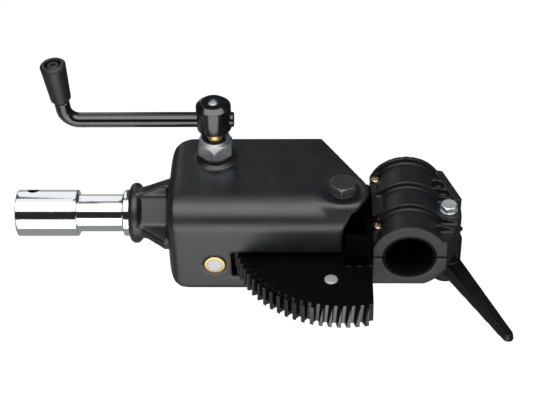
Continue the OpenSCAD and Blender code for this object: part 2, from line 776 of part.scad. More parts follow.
module thrust_washer_bottom() {
    color("#d8d4c6") at_pivot(lower_boss_z) tube(pivot_boss_d / 2 - 1, pivot_d / 2 + slip, thrust_t);
}

module pivot_bolt() {
    low = pivot_nut_z - pivot_nut_h - 1.4;
    color("#26282b") at_pivot() {
        translate([0, 0, pivot_head_z]) rotate(14) hexagon(pivot_hex, pivot_head_h);
        translate([0, 0, low]) cylinder(d = pivot_d, h = pivot_head_z - low);
    }
}

module pivot_washer() {
    color("#1e1f21") at_pivot(washer_seat) tube(pivot_washer_d / 2, pivot_d / 2 + slip, pivot_washer_t);
}

module pivot_nut_washer() {
    color("#1e1f21") at_pivot(pivot_nut_z) tube(pivot_washer_d / 2, pivot_d / 2 + slip, pivot_washer_t);
}

module pivot_nut() {
    color("#26282b") at_pivot(pivot_nut_z - pivot_nut_h) difference() {
        rotate(14) hexagon(pivot_hex, pivot_nut_h, true, true);
        translate([0, 0, -past]) cylinder(d = pivot_d, h = pivot_nut_h + 2 * past);
    }
}

// ---- mitre gears ----

function cone_r(grow) = (mitre_r + grow) * mitre_r / (mitre_r - grow);

// Tooth outline at the large end, projected on the plane across the shaft
function mitre_tooth(turn) = let(m = 2 * mitre_r / mitre_teeth, vr = mitre_r / cos(45), vn = mitre_teeth / cos(45))
    [for (s = [1, -1]) for (i = [0:4]) let(
        g = (s > 0 ? -1.25 + 2.25 * i / 4 : 1 - 2.25 * i / 4) * m,
        r = max(vr + g, vr * cos(pressure)),
        half = tooth_half(r, vr, vn, flank_play) * (vr + g) / mitre_r,
        q = cone_r(g * cos(45)), a = turn - s * half)
        q * [cos(a), sin(a)]];

module mitre_outline() {
    m = 2 * mitre_r / mitre_teeth;
    circle(r = cone_r(-1.25 * m * cos(45)) + 0.05);
    for (k = [0:mitre_teeth - 1]) polygon(concat([[0, 0]], mitre_tooth(360 * k / mitre_teeth)));
}

// Apex at the origin, large end at +mitre_r, hub beyond it
module mitre_gear(bore, turn) {
    small = (mitre_r - mitre_face) / mitre_r;
    difference() {
        union() {
            translate([0, 0, mitre_r]) mirror([0, 0, 1])
                linear_extrude(height = mitre_face, scale = small, slices = 1) rotate(turn) mitre_outline();
            translate([0, 0, mitre_r - mitre_face]) cylinder(r = bore + 0.7, h = mitre_face);
            translate([0, 0, mitre_r]) cylinder(d = mitre_hub_d, h = mitre_hub_h);
        }
        translate([0, 0, -past]) cylinder(r = bore, h = mitre_r + mitre_hub_h + 2 * past);
        translate([-mitre_hub_d, 0, mitre_r + mitre_hub_h / 2]) rotate([0, 90, 0])
            cylinder(d = roll_pin_d, h = 2 * mitre_hub_d);
    }
}

// ---- crank ----

module crank_shaft() {
    low = sector_z + mitre_r - mitre_face;
    color("#17181a") at_crank() difference() {
        union() {
            translate([0, 0, low]) cylinder(d = crank_shaft_d, h = head_z - low + join);
            translate([0, 0, head_z]) rotate_extrude() polygon([[0, 0], [head_d / 2 - 0.5, 0],
                [head_d / 2, 0.5], [head_d / 2, head_h - 0.85 * head_chamfer],
                [head_d / 2 - head_chamfer, head_h], [0, head_h]]);
        }
        translate([-head_d, 0, rod_z]) rotate([0, 90, 0]) cylinder(d = rod_d, h = 2 * head_d);
        translate([0, 0, rod_z]) cylinder(d = 6, h = head_h);
        translate([-mitre_hub_d, 0, sector_z + mitre_r + mitre_hub_h / 2]) rotate([0, 90, 0])
            cylinder(d = roll_pin_d, h = 2 * mitre_hub_d);
    }
}

module crank_bevel() {
    color("#8f9498") translate(apex) mitre_gear(crank_shaft_d / 2, 90);
}

module crank_bevel_pin() {
    color("#6d7175") at_crank(sector_z + mitre_r + mitre_hub_h / 2) translate([-mitre_hub_d / 2 + 0.2, 0, 0])
        rotate([0, 90, 0]) cylinder(d = roll_pin_d, h = mitre_hub_d - 0.4);
}

module crank_rod() {
    stub_x = head_d / 2 + rod_stub;
    straight = crank_arm - bend_run;
    color("#1b1b1f") translate(corner) union() {
        translate([bend_run, 0, 0]) rotate([0, 90, 0]) cylinder(d = rod_d, h = straight + stub_x);
        translate([bend_run, 0, bend_r]) rotate([90, 0, 0]) rotate(270) mirror([0, 1, 0])
            rotate_extrude(angle = bend_turn) translate([bend_r, 0]) circle(d = rod_d);
        rotate([0, -leg_lean, 0]) {
            translate([0, 0, bend_run - leg_step]) cylinder(d = rod_d - leg_step, h = leg_len - side_play - bend_run + leg_step);
            difference() {
                translate([0, 0, bend_run + 1])
                    cylinder(d = spindle_d, h = leg_len + grip_len - grip_recess + side_play - bend_run - 1);
                translate([0, 0, leg_len + grip_len - grip_recess + side_play - grip_screw_len - 1])
                    cylinder(d = grip_screw_d, h = 2 * grip_screw_len);
            }
        }
    }
}

module rod_set_screw() {
    top = head_z + head_h - 0.4;
    color("#c4c7ca") at_crank() difference() {
        translate([0, 0, rod_z + rod_d / 2]) cylinder(d = 6, h = top - rod_z - rod_d / 2);
        translate([0, 0, top - 2.6]) cylinder(r = 1.75, h = 3, $fn = 6);
    }
}

module grip() {
    low = grip_bottom_d / 2;
    high = grip_top_d / 2;
    inner = spindle_d / 2 + run;
    color("#2b2c2f") translate(corner) rotate([0, -leg_lean, 0]) translate([0, 0, leg_len]) rotate_extrude()
        polygon([[inner, 0], [low - 0.8, 0], [low, 0.8], [high, grip_len - 1], [high - 0.9, grip_len],
            [grip_recess_d / 2, grip_len], [grip_recess_d / 2, grip_len - grip_recess],
            [inner, grip_len - grip_recess]]);
}

module grip_screw() {
    seat = leg_len + grip_len - grip_recess + side_play;
    color("#c4c7ca") translate(corner) rotate([0, -leg_lean, 0]) difference() {
        union() {
            translate([0, 0, seat]) rotate_extrude() polygon([[0, 0], [grip_head_d / 2, 0],
                [grip_head_d / 2, grip_head_h - 1.1], [grip_head_d / 2 - 1, grip_head_h], [0, grip_head_h]]);
            translate([0, 0, seat - grip_screw_len]) cylinder(d = grip_screw_d, h = grip_screw_len + join);
        }
        translate([0, 0, seat + 0.7]) cylinder(r = 1.45, h = 3, $fn = 6);
    }
}

// ---- worm ----

// Ring of the thread's outline: distance along the shaft and radius, four stations to a pitch
function thread_station(j) = let(k = floor(j / 4), i = j - 4 * k,
    tip = thread_pitch / 4 - flank_play - tooth_module * tan(pressure),
    foot = thread_pitch / 4 - flank_play + 1.25 * tooth_module * tan(pressure))
    [(k + 0.5) * thread_pitch + [-foot, -tip, tip, foot][i], [worm_root_r, worm_tip_r, worm_tip_r, worm_root_r][i]];

module worm_thread() {
    turns = ceil(max(worm_rear - pivot_y, pivot_y - worm_front) / thread_pitch) + 1;
    first = -4 * turns;
    rows = 8 * turns - 4;
    around = 48;
    points = [for (j = [0:rows]) for (i = [0:around - 1]) let(s = thread_station(first + j), a = 360 * i / around)
        [s[1] * cos(a), s[1] * sin(a), s[0] + thread_pitch * i / around]];
    low = len(points);
    function at(j, i) = i < around ? j * around + i : (j + 4) * around;
    walls = [for (j = [0:rows - 1]) for (i = [0:around - 1]) if (i < around - 1 || j + 5 <= rows)
        each [[at(j, i), at(j + 1, i), at(j + 1, i + 1)], [at(j, i), at(j + 1, i + 1), at(j, i + 1)]]];
    bottom = concat([for (i = [0:around - 1]) [low, at(0, i), at(0, i + 1)]],
        [for (j = [0:3]) [low, at(j + 1, 0), at(j, 0)]]);
    top = concat([for (i = [0:around - 2]) [low + 1, at(rows, i + 1), at(rows, i)]],
        [[low + 1, at(rows, 0), at(rows - 4, around - 1)]],
        [for (j = [0:3]) [low + 1, at(rows - 4 + j, around - 1), at(rows - 3 + j, around - 1)]]);
    polyhedron(concat(points, [[0, 0, points[0][2] + thread_pitch / 2],
        [0, 0, points[rows * around][2] + thread_pitch / 2]]), concat(walls, bottom, top));
}

module worm_shaft() {
    mid = pivot_y;
    front = -half_w - worm_bush_proud;
    shoulder = front + worm_bush_len + side_play;
    rear = half_w + worm_bush_proud;
    color("#c9ccd0") difference() {
        union() {
            intersection() {
                at_worm(mid) worm_thread();
                at_worm(worm_front) cylinder(r = worm_tip_r + past, h = worm_rear - worm_front);
            }
            at_worm(front) cylinder(d = worm_pin_d, h = shoulder - front + join);
            at_worm(shoulder) cylinder(r = worm_root_r - 1.4, h = worm_front - shoulder + join);
            at_worm(mid) cylinder(d = worm_shaft_d, h = rear - mid);
        }
        at_worm(crank_y - mitre_r - mitre_hub_h / 2) translate([-mitre_hub_d, 0, 0]) rotate([0, 90, 0])
            cylinder(d = roll_pin_d, h = 2 * mitre_hub_d);
        at_worm(collar_pin_y) translate([-mitre_hub_d, 0, 0]) rotate([0, 90, 0])
            cylinder(d = roll_pin_d, h = 2 * mitre_hub_d);
    }
}

module worm_bevel() {
    color("#8f9498") translate(apex) rotate([90, 0, 0]) mitre_gear(worm_shaft_d / 2, 0);
}

module worm_bevel_pin() {
    color("#6d7175") at_worm(crank_y - mitre_r - mitre_hub_h / 2) translate([-mitre_hub_d / 2 + 0.2, 0, 0])
        rotate([0, 90, 0]) cylinder(d = roll_pin_d, h = mitre_hub_d - 0.4);
}

module worm_collar() {
    color("#8f9498") at_worm(collar_from) difference() {
        tube(worm_collar_d / 2, worm_shaft_d / 2, collar_y - collar_from);
        translate([-worm_collar_d, 0, collar_pin_y - collar_from]) rotate([0, 90, 0])
            cylinder(d = roll_pin_d, h = 2 * worm_collar_d);
    }
}

module worm_collar_pin() {
    color("#6d7175") at_worm(collar_pin_y) translate([0.2 - worm_collar_d / 2, 0, 0]) rotate([0, 90, 0])
        cylinder(d = roll_pin_d, h = worm_collar_d - 0.4);
}

// ---- sector ----

module sector_tooth() {
    foot = root_r - 0.4;
    flank = [for (i = [0:4]) let(r = foot + (tip_r - foot) * i / 4,
        a = tooth_half(max(r, base_r), pitch_r, sector_teeth, flank_play)) r * [cos(a), sin(a)]];
    rotate([-lead_angle, 0, 0]) translate([0, 0, -sector_t]) linear_extrude(2 * sector_t)
        polygon(concat([for (i = [0:4]) [flank[i][0], -flank[i][1]]], [for (i = [4:-1:0]) flank[i]]));
}

module sector_gear() {
    start = 180 - (rear_teeth + 0.5) * tooth_step;
    reach = 2 * tip_r;
    color("#14151a") difference() {
        union() {
            at_pivot(sector_low) intersection() {
                cylinder(r = root_r, h = sector_t);
                linear_extrude(sector_t) polygon([[0, 0], reach * [cos(start), sin(start)], [-reach, -reach],
                    [clamp_gap, -reach], [clamp_gap, 0]]);
            }
            at_pivot(sector_low) cylinder(r = 14, h = sector_t);
            at_pivot(sector_low) linear_extrude(sector_t) polygon([[0, -20], [clamp_gap, -20],
                [clamp_gap, bracket_rear], [4, bracket_rear], [-6, 12.65]]);
            at_pivot(sector_z) intersection() {
                for (k = [-rear_teeth:front_teeth]) rotate(180 + k * tooth_step) sector_tooth();
                translate([0, 0, -sector_t / 2]) cylinder(r = tip_r + past, h = sector_t);
            }
        }
        at_pivot(sector_low - past) cylinder(r = bush_r, h = sector_t + 2 * past);
        at_pivot(sector_low - past) translate([-7.1, -40.3, 0]) cylinder(d = 4, h = sector_t + 2 * past);
        for (y = mount_screw_y) translate([pivot_x + clamp_gap - mount_reach, y, -mount_screw_z])
            rotate([0, 90, 0]) cylinder(d = mount_screw_d, h = mount_reach + past);
    }
}

module sector_rivet() {
    color("#cfd2d6") at_pivot(sector_high) translate([-7.1, -40.3, 0]) {
        rotate_extrude() polygon(concat([[0, 0]], arc([0, -3.1], 4.95, 38.8, 90, 8)));
        translate([0, 0, -sector_t]) cylinder(d = 4, h = sector_t);
    }
}

// ---- tilt bracket ----

module tilt_bracket() {
    left = clamp_gap - end_plate_t;
    high = bracket_top - sector_high;
    bend = 3;
    color("#14151a") at_pivot(sector_high) difference() {
        union() {
            linear_extrude(high) polygon(concat([[clamp_gap - front_flange_w, -bracket_front]],
                arc([clamp_gap - bend, bend - bracket_front], bend, 270, 360, 6),
                [[clamp_gap, bracket_rear], [left, bracket_rear], [left, front_flange_t - bracket_front],
                [clamp_gap - front_flange_w, front_flange_t - bracket_front]]));
            cylinder(d = pivot_tube_d, h = high);
            translate([0, 0, high - bracket_t]) linear_extrude(bracket_t) {
                circle(r = 14);
                polygon([[0, 0], [left + join, -16], [left + join, 16]]);
            }
        }
        translate([0, 0, -past]) cylinder(r = bush_r, h = high + 2 * past);
    }
}

module pivot_bush_top() {
    color("#b08d4c") at_pivot(bracket_top - 12) tube(bush_r, pivot_bore_r, 12);
}

module pivot_bush_bottom() {
    color("#b08d4c") at_pivot(sector_low) tube(bush_r, pivot_bore_r, 12);
}

// ---- tube clamp ----

module lug_plan() {
    edge = clamp_bolt_x + lug_edge;
    translate([tube_x, 0]) polygon(concat([[0, clamp_front], [flat_x, clamp_front]],
        arc([edge - 5, bolt_y - 3], 5, -18, 0, 3), arc([edge - 5, bolt_y + 5], 5, 0, 34, 4),
        [[flat_x + 1, clamp_rear], [0, clamp_rear]]));
}

module clamp_bore() {
    translate([0, clamp_front - past, 0]) at_tube() rotate([-90, 0, 0])
        cylinder(r = bore_r, h = clamp_len + 2 * past);
}

module clamp_upper() {
    low = split_gap / 2;
    lug = upper_lug - low;
    web = 4.4;
    color("#1c1d20") difference() {
        union() {
            intersection() {
                union() {
                    translate([0, clamp_front, 0]) at_tube() rotate([-90, 0, 0]) cylinder(r = shell_r, h = clamp_len);
                    for (y = rib_spots) translate([0, y, 0]) at_tube() rotate([-90, 0, 0])
                        cylinder(r = rib_r, h = rib_t);
                }
                translate([tube_x - flat_x, clamp_front - past, low])
                    cube([clamp_flats, clamp_len + 2 * past, rib_r]);
            }
            translate([tube_x - flat_x, clamp_front, low]) cube([flat_x, clamp_len, lug]);
            translate([tube_x - flat_x, rib_spots[1] + rib_t, low]) cube([7, rib_gap - rib_t, lug + web]);
            translate([0, 0, low]) linear_extrude(lug) lug_plan();
            translate([bolt_x, bolt_y, low]) cylinder(r = clamp_hex / 2 + 2, h = lug + 1.2);
            intersection() {
                for (y = concat([rib_spots[1] - 7, rib_spots[2] + 7, rib_spots[3] - 8], rib_spots))
                    translate([tube_x + bore_r - 1, y, low]) cube([30, rib_t, lug + web]);
                translate([0, 0, low]) linear_extrude(lug + web) lug_plan();
                along_y(clamp_front - past, clamp_rear + past) polygon([[tube_x, 0], [tube_x + 50, 0],
                    [tube_x + bore_r + 17, upper_lug], [tube_x + bore_r + 3, upper_lug + web], [tube_x, upper_lug + web]]);
            }
        }
        clamp_bore();
        translate([bolt_x, bolt_y, upper_lug + 1.2]) cylinder(r = clamp_hex / 2 + 2, h = rib_r);
        translate([bolt_x, bolt_y, 0]) cylinder(r = clamp_bolt_d / 2 + slip, h = rib_d);
        for (y = side_screw_y) translate([tube_x + side_screw_x, y, 0]) {
            cylinder(r = side_screw_d / 2 + slip, h = rib_d);
            translate([0, 0, upper_lug]) cylinder(r = side_head_d / 2 + 0.6, h = rib_r);
        }
    }
}

module clamp_lower() {
    low = split_gap / 2;
    color("#1c1d20") difference() {
        union() {
            intersection() {
                union() {
                    translate([0, clamp_front, 0]) at_tube() rotate([-90, 0, 0]) cylinder(r = shell_r, h = clamp_len);
                    for (y = rib_spots) translate([0, y, 0]) at_tube() rotate([-90, 0, 0])
                        cylinder(r = rib_r, h = rib_t);
                    translate([tube_x - flat_x, clamp_front, -clamp_flat_z]) cube([flat_x, rib_t, clamp_flat_z]);
                    translate([tube_x - flat_x, clamp_front, -clamp_flat_z]) cube([9, clamp_len, clamp_flat_z]);
                }
                translate([tube_x - flat_x, clamp_front - past, -clamp_flat_z])
                    cube([clamp_flats, clamp_len + 2 * past, clamp_flat_z - low]);
            }
            translate([0, 0, -lower_lug]) linear_extrude(lower_lug - low) lug_plan();
            translate([bolt_x + lug_edge - 1, bolt_y, -5.3]) rotate([0, 90, 0]) cylinder(r = 1.2, h = 2.6);
        }
        clamp_bore();
        translate([bolt_x, bolt_y, -rib_d]) cylinder(r = clamp_bolt_d / 2 + slip, h = 2 * rib_d);
        translate([bolt_x, bolt_y, lever_top + side_play - rib_d]) cylinder(r = lever_hub_d / 2 + side_play, h = rib_d);
        for (y = side_screw_y) translate([tube_x + side_screw_x, y, -side_screw_len - 1]) cylinder(d = side_screw_d, h = rib_d);
        for (y = mount_screw_y) translate([tube_x, y, -mount_screw_z]) rotate([0, -90, 0]) {
            cylinder(r = mount_screw_d / 2 + slip, h = rib_d);
            translate([0, 0, -past]) cylinder(r = mount_hole_r, h = -mount_head_x + past);
        }
    }
}

module clamp_liner(above) {
    gap = split_gap / 2;
    intersection() {
        translate([0, clamp_front + 0.5, 0]) at_tube() rotate([-90, 0, 0]) tube(bore_r, tube_d / 2, clamp_len - 1);
        translate([tube_x - bore_r - past, clamp_front, above ? gap : -bore_r - past])
            cube([2 * (bore_r + past), clamp_len, bore_r + past - gap]);
    }
}

module clamp_liner_upper() {
    color("#111214") clamp_liner(true);
}

module clamp_liner_lower() {
    color("#111214") clamp_liner(false);
}

module clamp_mount_screws() {
    head = -mount_head_x;
    color("#5a5d61") for (y = mount_screw_y) translate([tube_x, y, -mount_screw_z]) rotate([0, -90, 0]) difference() {
        union() {
            translate([0, 0, head - mount_head_h]) cylinder(d = mount_head_d, h = mount_head_h);
            translate([0, 0, head - join]) cylinder(d = mount_screw_d, h = flat_x - head + mount_reach - 0.6 + join);
        }
        translate([0, 0, head - mount_head_h - past]) cylinder(r = mount_screw_d / 2 - 0.2, h = past + mount_head_h - 1, $fn = 6);
    }
}

module clamp_screws() {
    color("#cfc39a") for (y = side_screw_y) translate([tube_x + side_screw_x, y, 0]) difference() {
        union() {
            translate([0, 0, upper_lug]) rotate_extrude() polygon([[0, 0], [side_head_d / 2, 0],
                [side_head_d / 2, 1.2], [side_head_d / 2 - 1, side_head_h], [0, side_head_h]]);
            translate([0, 0, -side_screw_len]) cylinder(d = side_screw_d, h = upper_lug + side_screw_len + join);
        }
        for (a = [20, 110]) translate([0, 0, upper_lug + side_head_h]) rotate(a) cube([4, 0.9, 2.4], center = true);
    }
}

module clamp_bolt() {
    top = upper_lug + 1.2 + washer_t;
    low = lever_top - 11;
    color("#c3cad2") translate([bolt_x, bolt_y, 0]) {
        translate([0, 0, top]) rotate(8) hexagon(clamp_hex, 4);
        translate([0, 0, low]) cylinder(d = clamp_bolt_d, h = top - low);
    }
}

module clamp_bolt_washer() {
    color("#c3cad2") translate([bolt_x, bolt_y, upper_lug + 1.2]) tube(clamp_hex / 2 + 1.2, clamp_bolt_d / 2 + slip, washer_t);
}

module lever_washer() {
    color("#8c9094") translate([bolt_x, bolt_y, -lower_lug - washer_t]) tube(7.5, clamp_bolt_d / 2 + slip, washer_t);
}

// ---- lever ----

module lever() {
    r = lever_hub_d / 2;
    low = lever_bottom;
    arm = 9.6;
    tip = lever_tip_w / 2;
    color("#1a1b1e") translate([bolt_x, bolt_y, 0]) difference() {
        union() {
            translate([0, 0, low]) rotate_extrude() polygon([[0, 0], [r - 2.4, 0], [r - 0.7, 1], [r, 3],
                [r, lever_hub_h - 1.2], [r - 1.2, lever_hub_h], [0, lever_hub_h]]);
            rotate(lever_turn) intersection() {
                translate([0, 0, low - 2 * arm]) linear_extrude(4 * arm) {
                    polygon([[0, -lever_root_w / 2], [lever_len - tip, -tip], [lever_len - tip, tip], [0, lever_root_w / 2]]);
                    translate([lever_len - tip, 0]) circle(r = tip);
                }
                along_y(-r, r) polygon([[0, low + 1], [lever_len, low + 1 - lever_drop],
                    [lever_len, low + 1 + arm - 2 - lever_drop], [0, low + 1 + arm]]);
            }
        }
        translate([0, 0, lever_top - 8]) cylinder(r = clamp_hex / 2 / cos(30), h = 8 + past, $fn = 6);
        translate([0, 0, lever_top - 13]) cylinder(r = clamp_bolt_d / 2 + side_play, h = 14);
    }
}

module lever_insert() {
    color("#8c9094") translate([bolt_x, bolt_y, lever_top - 8]) difference() {
        cylinder(r = clamp_hex / 2 / cos(30), h = 8, $fn = 6);
        translate([0, 0, -past]) cylinder(r = clamp_bolt_d / 2 + run, h = 8 + 2 * past);
    }
}

housing();
base_plate();
base_screws();
spigot();
spigot_bolt();
spigot_washer();
crank_bush();
crank_washer();
crank_nut();
crank_nut_ring();
worm_bush_front();
worm_bush_rear();
thrust_washer_top();
thrust_washer_bottom();
pivot_bolt();
pivot_washer();
pivot_nut_washer();
pivot_nut();
crank_shaft();
crank_bevel();
crank_bevel_pin();
crank_rod();
rod_set_screw();
grip();
grip_screw();
worm_shaft();
worm_bevel();
worm_bevel_pin();
worm_collar();
worm_collar_pin();
sector_gear();
sector_rivet();
tilt_bracket();
pivot_bush_top();
pivot_bush_bottom();
clamp_lower();
clamp_upper();
clamp_liner_lower();
clamp_liner_upper();
clamp_mount_screws();
clamp_screws();
clamp_bolt();
clamp_bolt_washer();
lever_washer();
lever();
lever_insert();
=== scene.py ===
"""Looks of a geared tilt head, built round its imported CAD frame.

Sizes are in millimetres in the frame's own axes: +X along the spigot towards the tube clamp,
+Y to the rear, +Z up along the crank shaft. Meshes are turned to metres when they are published.
"""

from __future__ import annotations

import json
import logging
import math
from dataclasses import dataclass, replace
from enum import Enum
from typing import Callable, Sequence

import bmesh
import bpy
from mathutils import Euler, Matrix, Vector

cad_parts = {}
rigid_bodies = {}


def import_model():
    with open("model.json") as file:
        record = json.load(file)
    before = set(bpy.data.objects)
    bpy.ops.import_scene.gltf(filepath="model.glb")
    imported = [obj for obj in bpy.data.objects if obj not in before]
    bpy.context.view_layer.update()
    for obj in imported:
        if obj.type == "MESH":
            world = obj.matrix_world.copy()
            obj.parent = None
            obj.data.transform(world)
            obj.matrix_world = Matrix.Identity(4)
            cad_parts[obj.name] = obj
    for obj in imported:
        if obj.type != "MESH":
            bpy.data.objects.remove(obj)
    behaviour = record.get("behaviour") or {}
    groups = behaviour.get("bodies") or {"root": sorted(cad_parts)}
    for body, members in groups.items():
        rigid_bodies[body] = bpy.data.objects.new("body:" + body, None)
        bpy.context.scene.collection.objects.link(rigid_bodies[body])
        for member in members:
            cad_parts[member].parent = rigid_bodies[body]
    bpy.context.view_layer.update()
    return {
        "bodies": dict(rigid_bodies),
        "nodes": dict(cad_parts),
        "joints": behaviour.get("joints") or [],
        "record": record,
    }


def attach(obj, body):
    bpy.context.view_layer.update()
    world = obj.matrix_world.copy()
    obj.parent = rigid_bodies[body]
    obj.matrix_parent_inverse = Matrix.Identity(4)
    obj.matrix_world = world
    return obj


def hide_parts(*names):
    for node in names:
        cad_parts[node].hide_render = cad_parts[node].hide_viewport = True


LOG = logging.getLogger("geared_tilt_head")
MM = 0.001
MERGE_MM = 0.0004  # turned or cut points that are closer than this become one
CAD_MERGE_MM = 0.002  # the same for a copy of a CAD node
Point2 = tuple[float, float]
Point3 = tuple[float, float, float]
Ring = Sequence[bmesh.types.BMVert]
Socket = bpy.types.NodeSocket
Tree = bpy.types.NodeTree


class Body(Enum):
    """Rigid bodies of the frame."""

    HEAD = "head"
    CRANK = "crank"
    GRIP = "grip"
    WORM = "worm"
    TILT = "tilt_head"
    LEVER = "lever"


# ---- places, objects and outlines ----


def turned(axis: str, degrees: float) -> Matrix:
    """Rotation about one axis."""
    return Matrix.Rotation(math.radians(degrees), 4, axis)


def moved(x: float, y: float, z: float) -> Matrix:
    """Move by millimetres."""
    return Matrix.Translation((x, y, z))


class Laid(Enum):
    """Direction that the axis of a turned piece is laid along."""

    X = "x"
    Y = "y"

    def matrix(self) -> Matrix:
        """Rotation that lays local Z along the direction."""
        return turned("Y", 90) if self is Laid.X else turned("X", -90)


def facing(spot: Point3, aim: Point3) -> Matrix:
    """Place of a thing that hangs at one point and faces another.

    Args:
        spot: Where it hangs, in millimetres.
        aim: What it faces, in millimetres.

    Returns:
        The place, in metres.
    """
    place = (Vector(spot) - Vector(aim)).to_track_quat("Z", "Y").to_matrix().to_4x4()
    place.translation = Vector(spot) * MM
    return place


def linked(name: str, data: bpy.types.ID) -> bpy.types.Object:
    """Puts an object into the scene.

    Args:
        name: Its name.
        data: Its mesh, lamp or camera.

    Returns:
        The object.
    """
    thing = bpy.data.objects.new(name, data)
    bpy.context.scene.collection.objects.link(thing)
    return thing


def mesh_object(name: str, bm: bmesh.types.BMesh) -> bpy.types.Object:
    """Puts a copy of a bmesh into the scene.

    Args:
        name: The object's name and its mesh's.
        bm: The bmesh.

    Returns:
        The object.
    """
    mesh = bpy.data.meshes.new(name)
    bm.to_mesh(mesh)
    return linked(name, mesh)


def scrap(*things: bpy.types.Object) -> None:
    """Removes objects together with their meshes.

    Args:
        things: The objects.
    """
    for thing in things:
        mesh = thing.data
        bpy.data.objects.remove(thing)
        bpy.data.meshes.remove(mesh)


def even(radius: float, low: float, high: float, parts: int) -> list[Point2]:
    """Evenly spaced points along one straight stretch of an outline."""
    return [(radius, low + (high - low) * part / parts) for part in range(parts + 1)]


def band(inner: float, outer: float, low: float, high: float) -> list[Point2]:
    """Closed outline of a washer or a bush."""
    return [(inner, low), (outer, low), (outer, high), (inner, high), (inner, low)]


def plug(radius: float, low: float, high: float) -> list[Point2]:
    """Outline of a plain round bar."""
    return [(0, low), (radius, low), (radius, high), (0, high)]


def rounded(
    points: Sequence[Point2], radii: Sequence[float] | float, parts: int = 4
) -> list[Point2]:
    """Rounds the inner corners of an open outline.

    Args:
        points: The outline's corners.
        radii: The radius at each inner corner, or one for all.
        parts: How many parts each rounding has.

    Returns:
        The outline with its corners rounded.
    """
    sizes = [radii] * (len(points) - 2) if isinstance(radii, (int, float)) else radii
    most = 0.49  # share of a side that one rounding may take
    out = [points[0]]
    for before, corner, after, radius in zip(points, points[1:], points[2:], sizes):
        here = Vector(corner)
        back, ahead = Vector(before) - here, Vector(after) - here
        half = back.angle(ahead, math.pi) / 2
        if radius <= 0 or half > math.radians(89):
            out.append(corner)
            continue
        reach = min(radius / math.tan(half), back.length * most, ahead.length * most)
        start, end = here + back.normalized() * reach, here + ahead.normalized() * reach
        for part in range(parts + 1):
            t = part / parts
            spot = (1 - t) ** 2 * start + 2 * t * (1 - t) * here + t**2 * end
            out.append((spot.x, spot.y))
    out.append(points[-1])
    return out


# ---- finishes ----


@dataclass(frozen=True)
class Grain:
    """Fine relief and blotches of a surface.

    scale is in cells per metre, relief in metres of bump distance, blotch the spread of
    colour, and rough_spread the spread of roughness.
    """

    scale: float
    relief: float
    blotch: float
    rough_spread: float


@dataclass(frozen=True)
class Finish:
    """One surface finish, from which a procedural material is made.

    slot is not used in this script. edge_mm is the reach of worn
    edges, round_mm of edges that look rounded, rings is the pitch of turning lines, and
    the last field is the half width of the middle of a shaft that is painted near-black as shade
    inside the case.
    """

    name: str
    color: Point3
    roughness: float
    grain: Grain
    slot: str = ""
    metallic: float = 0.0
    specular: float = 0.5
    worn: Point3 = (0.3, 0.3, 0.31)
    wear: float = 0.0
    edge_mm: float = 0.35
    round_mm: float = 0.0
    coat: float = 0.0
    side_coat: float = 0.0
    coat_roughness: float = 0.15
    coat_ior: float = 1.5
    dust: float = 0.0
    rings: float = 0.0
    ring_axis: int = 2
    case_shade_mm: float = 0.0


DUST = (0.16, 0.155, 0.15)
# Near-black colour painted on the middle of a shaft as shade inside the case.
CASE_SHADE = (0.006, 0.005, 0.004)
# Turns that lay local Z of the turning lines along X, Y or Z.
RING_TURNS = ((0, math.radians(90), 0), (math.radians(90), 0, 0), (0, 0, 0))

PAINT = Finish(
    "housing_paint", (0.0056, 0.0059, 0.007), 0.39, Grain(1500, 3e-5, 0.12, 0.08),
    specular=0.66, wear=0.16, edge_mm=0.5, worn=(0.06, 0.06, 0.065), round_mm=0.5, dust=0.05,
)
# Nearly black, barely reflecting copy of the gear paint. The bracket is real black paint,
# darkened further as painted shade.
BRACKET_SHADED_BLACK = Finish(
    "bracket_paint_shaded", (0.0006, 0.0006, 0.0007), 0.6, Grain(1200, 3e-5, 0.15, 0.08),
    slot="gear_paint", specular=0.03, wear=0.1, edge_mm=0.3, worn=(0.012, 0.012, 0.013),
    round_mm=0.4,
)
GEAR_BLACK = Finish(
    "gear_paint", (0.0012, 0.0012, 0.0013), 0.5, Grain(1200, 3e-5, 0.15, 0.08),
    specular=0.06, wear=0.25, worn=(0.06, 0.06, 0.062), round_mm=0.35,
    side_coat=0.95, coat_roughness=0.14, coat_ior=1.7,
)
CRANK_BLACK = Finish(
    "crank_paint", (0.003, 0.003, 0.004), 0.17, Grain(700, 1e-5, 0.1, 0.04),
    specular=0.7, wear=0.12, edge_mm=0.3, worn=(0.12, 0.12, 0.125), coat=0.25,
)
CHROME = Finish(
    "spigot_chrome", (0.86, 0.875, 0.9), 0.1, Grain(2200, 2e-6, 0.02, 0.03),
    metallic=1.0, rings=3200.0, ring_axis=0,
)
BLACK_STEEL = Finish(
    "black_steel", (0.01, 0.01, 0.011), 0.3, Grain(1600, 2e-5, 0.15, 0.06),
    specular=0.45, wear=0.3, edge_mm=0.3, worn=(0.16, 0.16, 0.165), round_mm=0.3,
)
PIVOT_STEEL = Finish(
    "pivot_steel", (0.07, 0.07, 0.074), 0.36, Grain(1300, 3e-5, 0.2, 0.1),
    slot="black_steel", specular=0.6, metallic=0.6, wear=0.7, edge_mm=0.45,
    worn=(0.34, 0.34, 0.35), round_mm=0.3,
)
ZINC = Finish(
    "zinc_steel", (0.7, 0.72, 0.745), 0.38, Grain(900, 3e-5, 0.4, 0.16),
    metallic=1.0, wear=0.2, edge_mm=0.3, worn=(0.8, 0.82, 0.84), round_mm=0.25,
)
BOLT_ZINC = replace(
    ZINC, name="bolt_zinc", slot="zinc_steel", color=(0.74, 0.77, 0.8), roughness=0.45,
    worn=(0.85, 0.87, 0.9), grain=Grain(900, 3e-5, 0.3, 0.16),
)
YELLOW_ZINC = Finish(
    "yellow_zinc", (0.62, 0.52, 0.33), 0.28, Grain(1300, 2e-5, 0.14, 0.1),
    metallic=1.0, wear=0.2, edge_mm=0.25, worn=(0.8, 0.75, 0.62), round_mm=0.2,
)
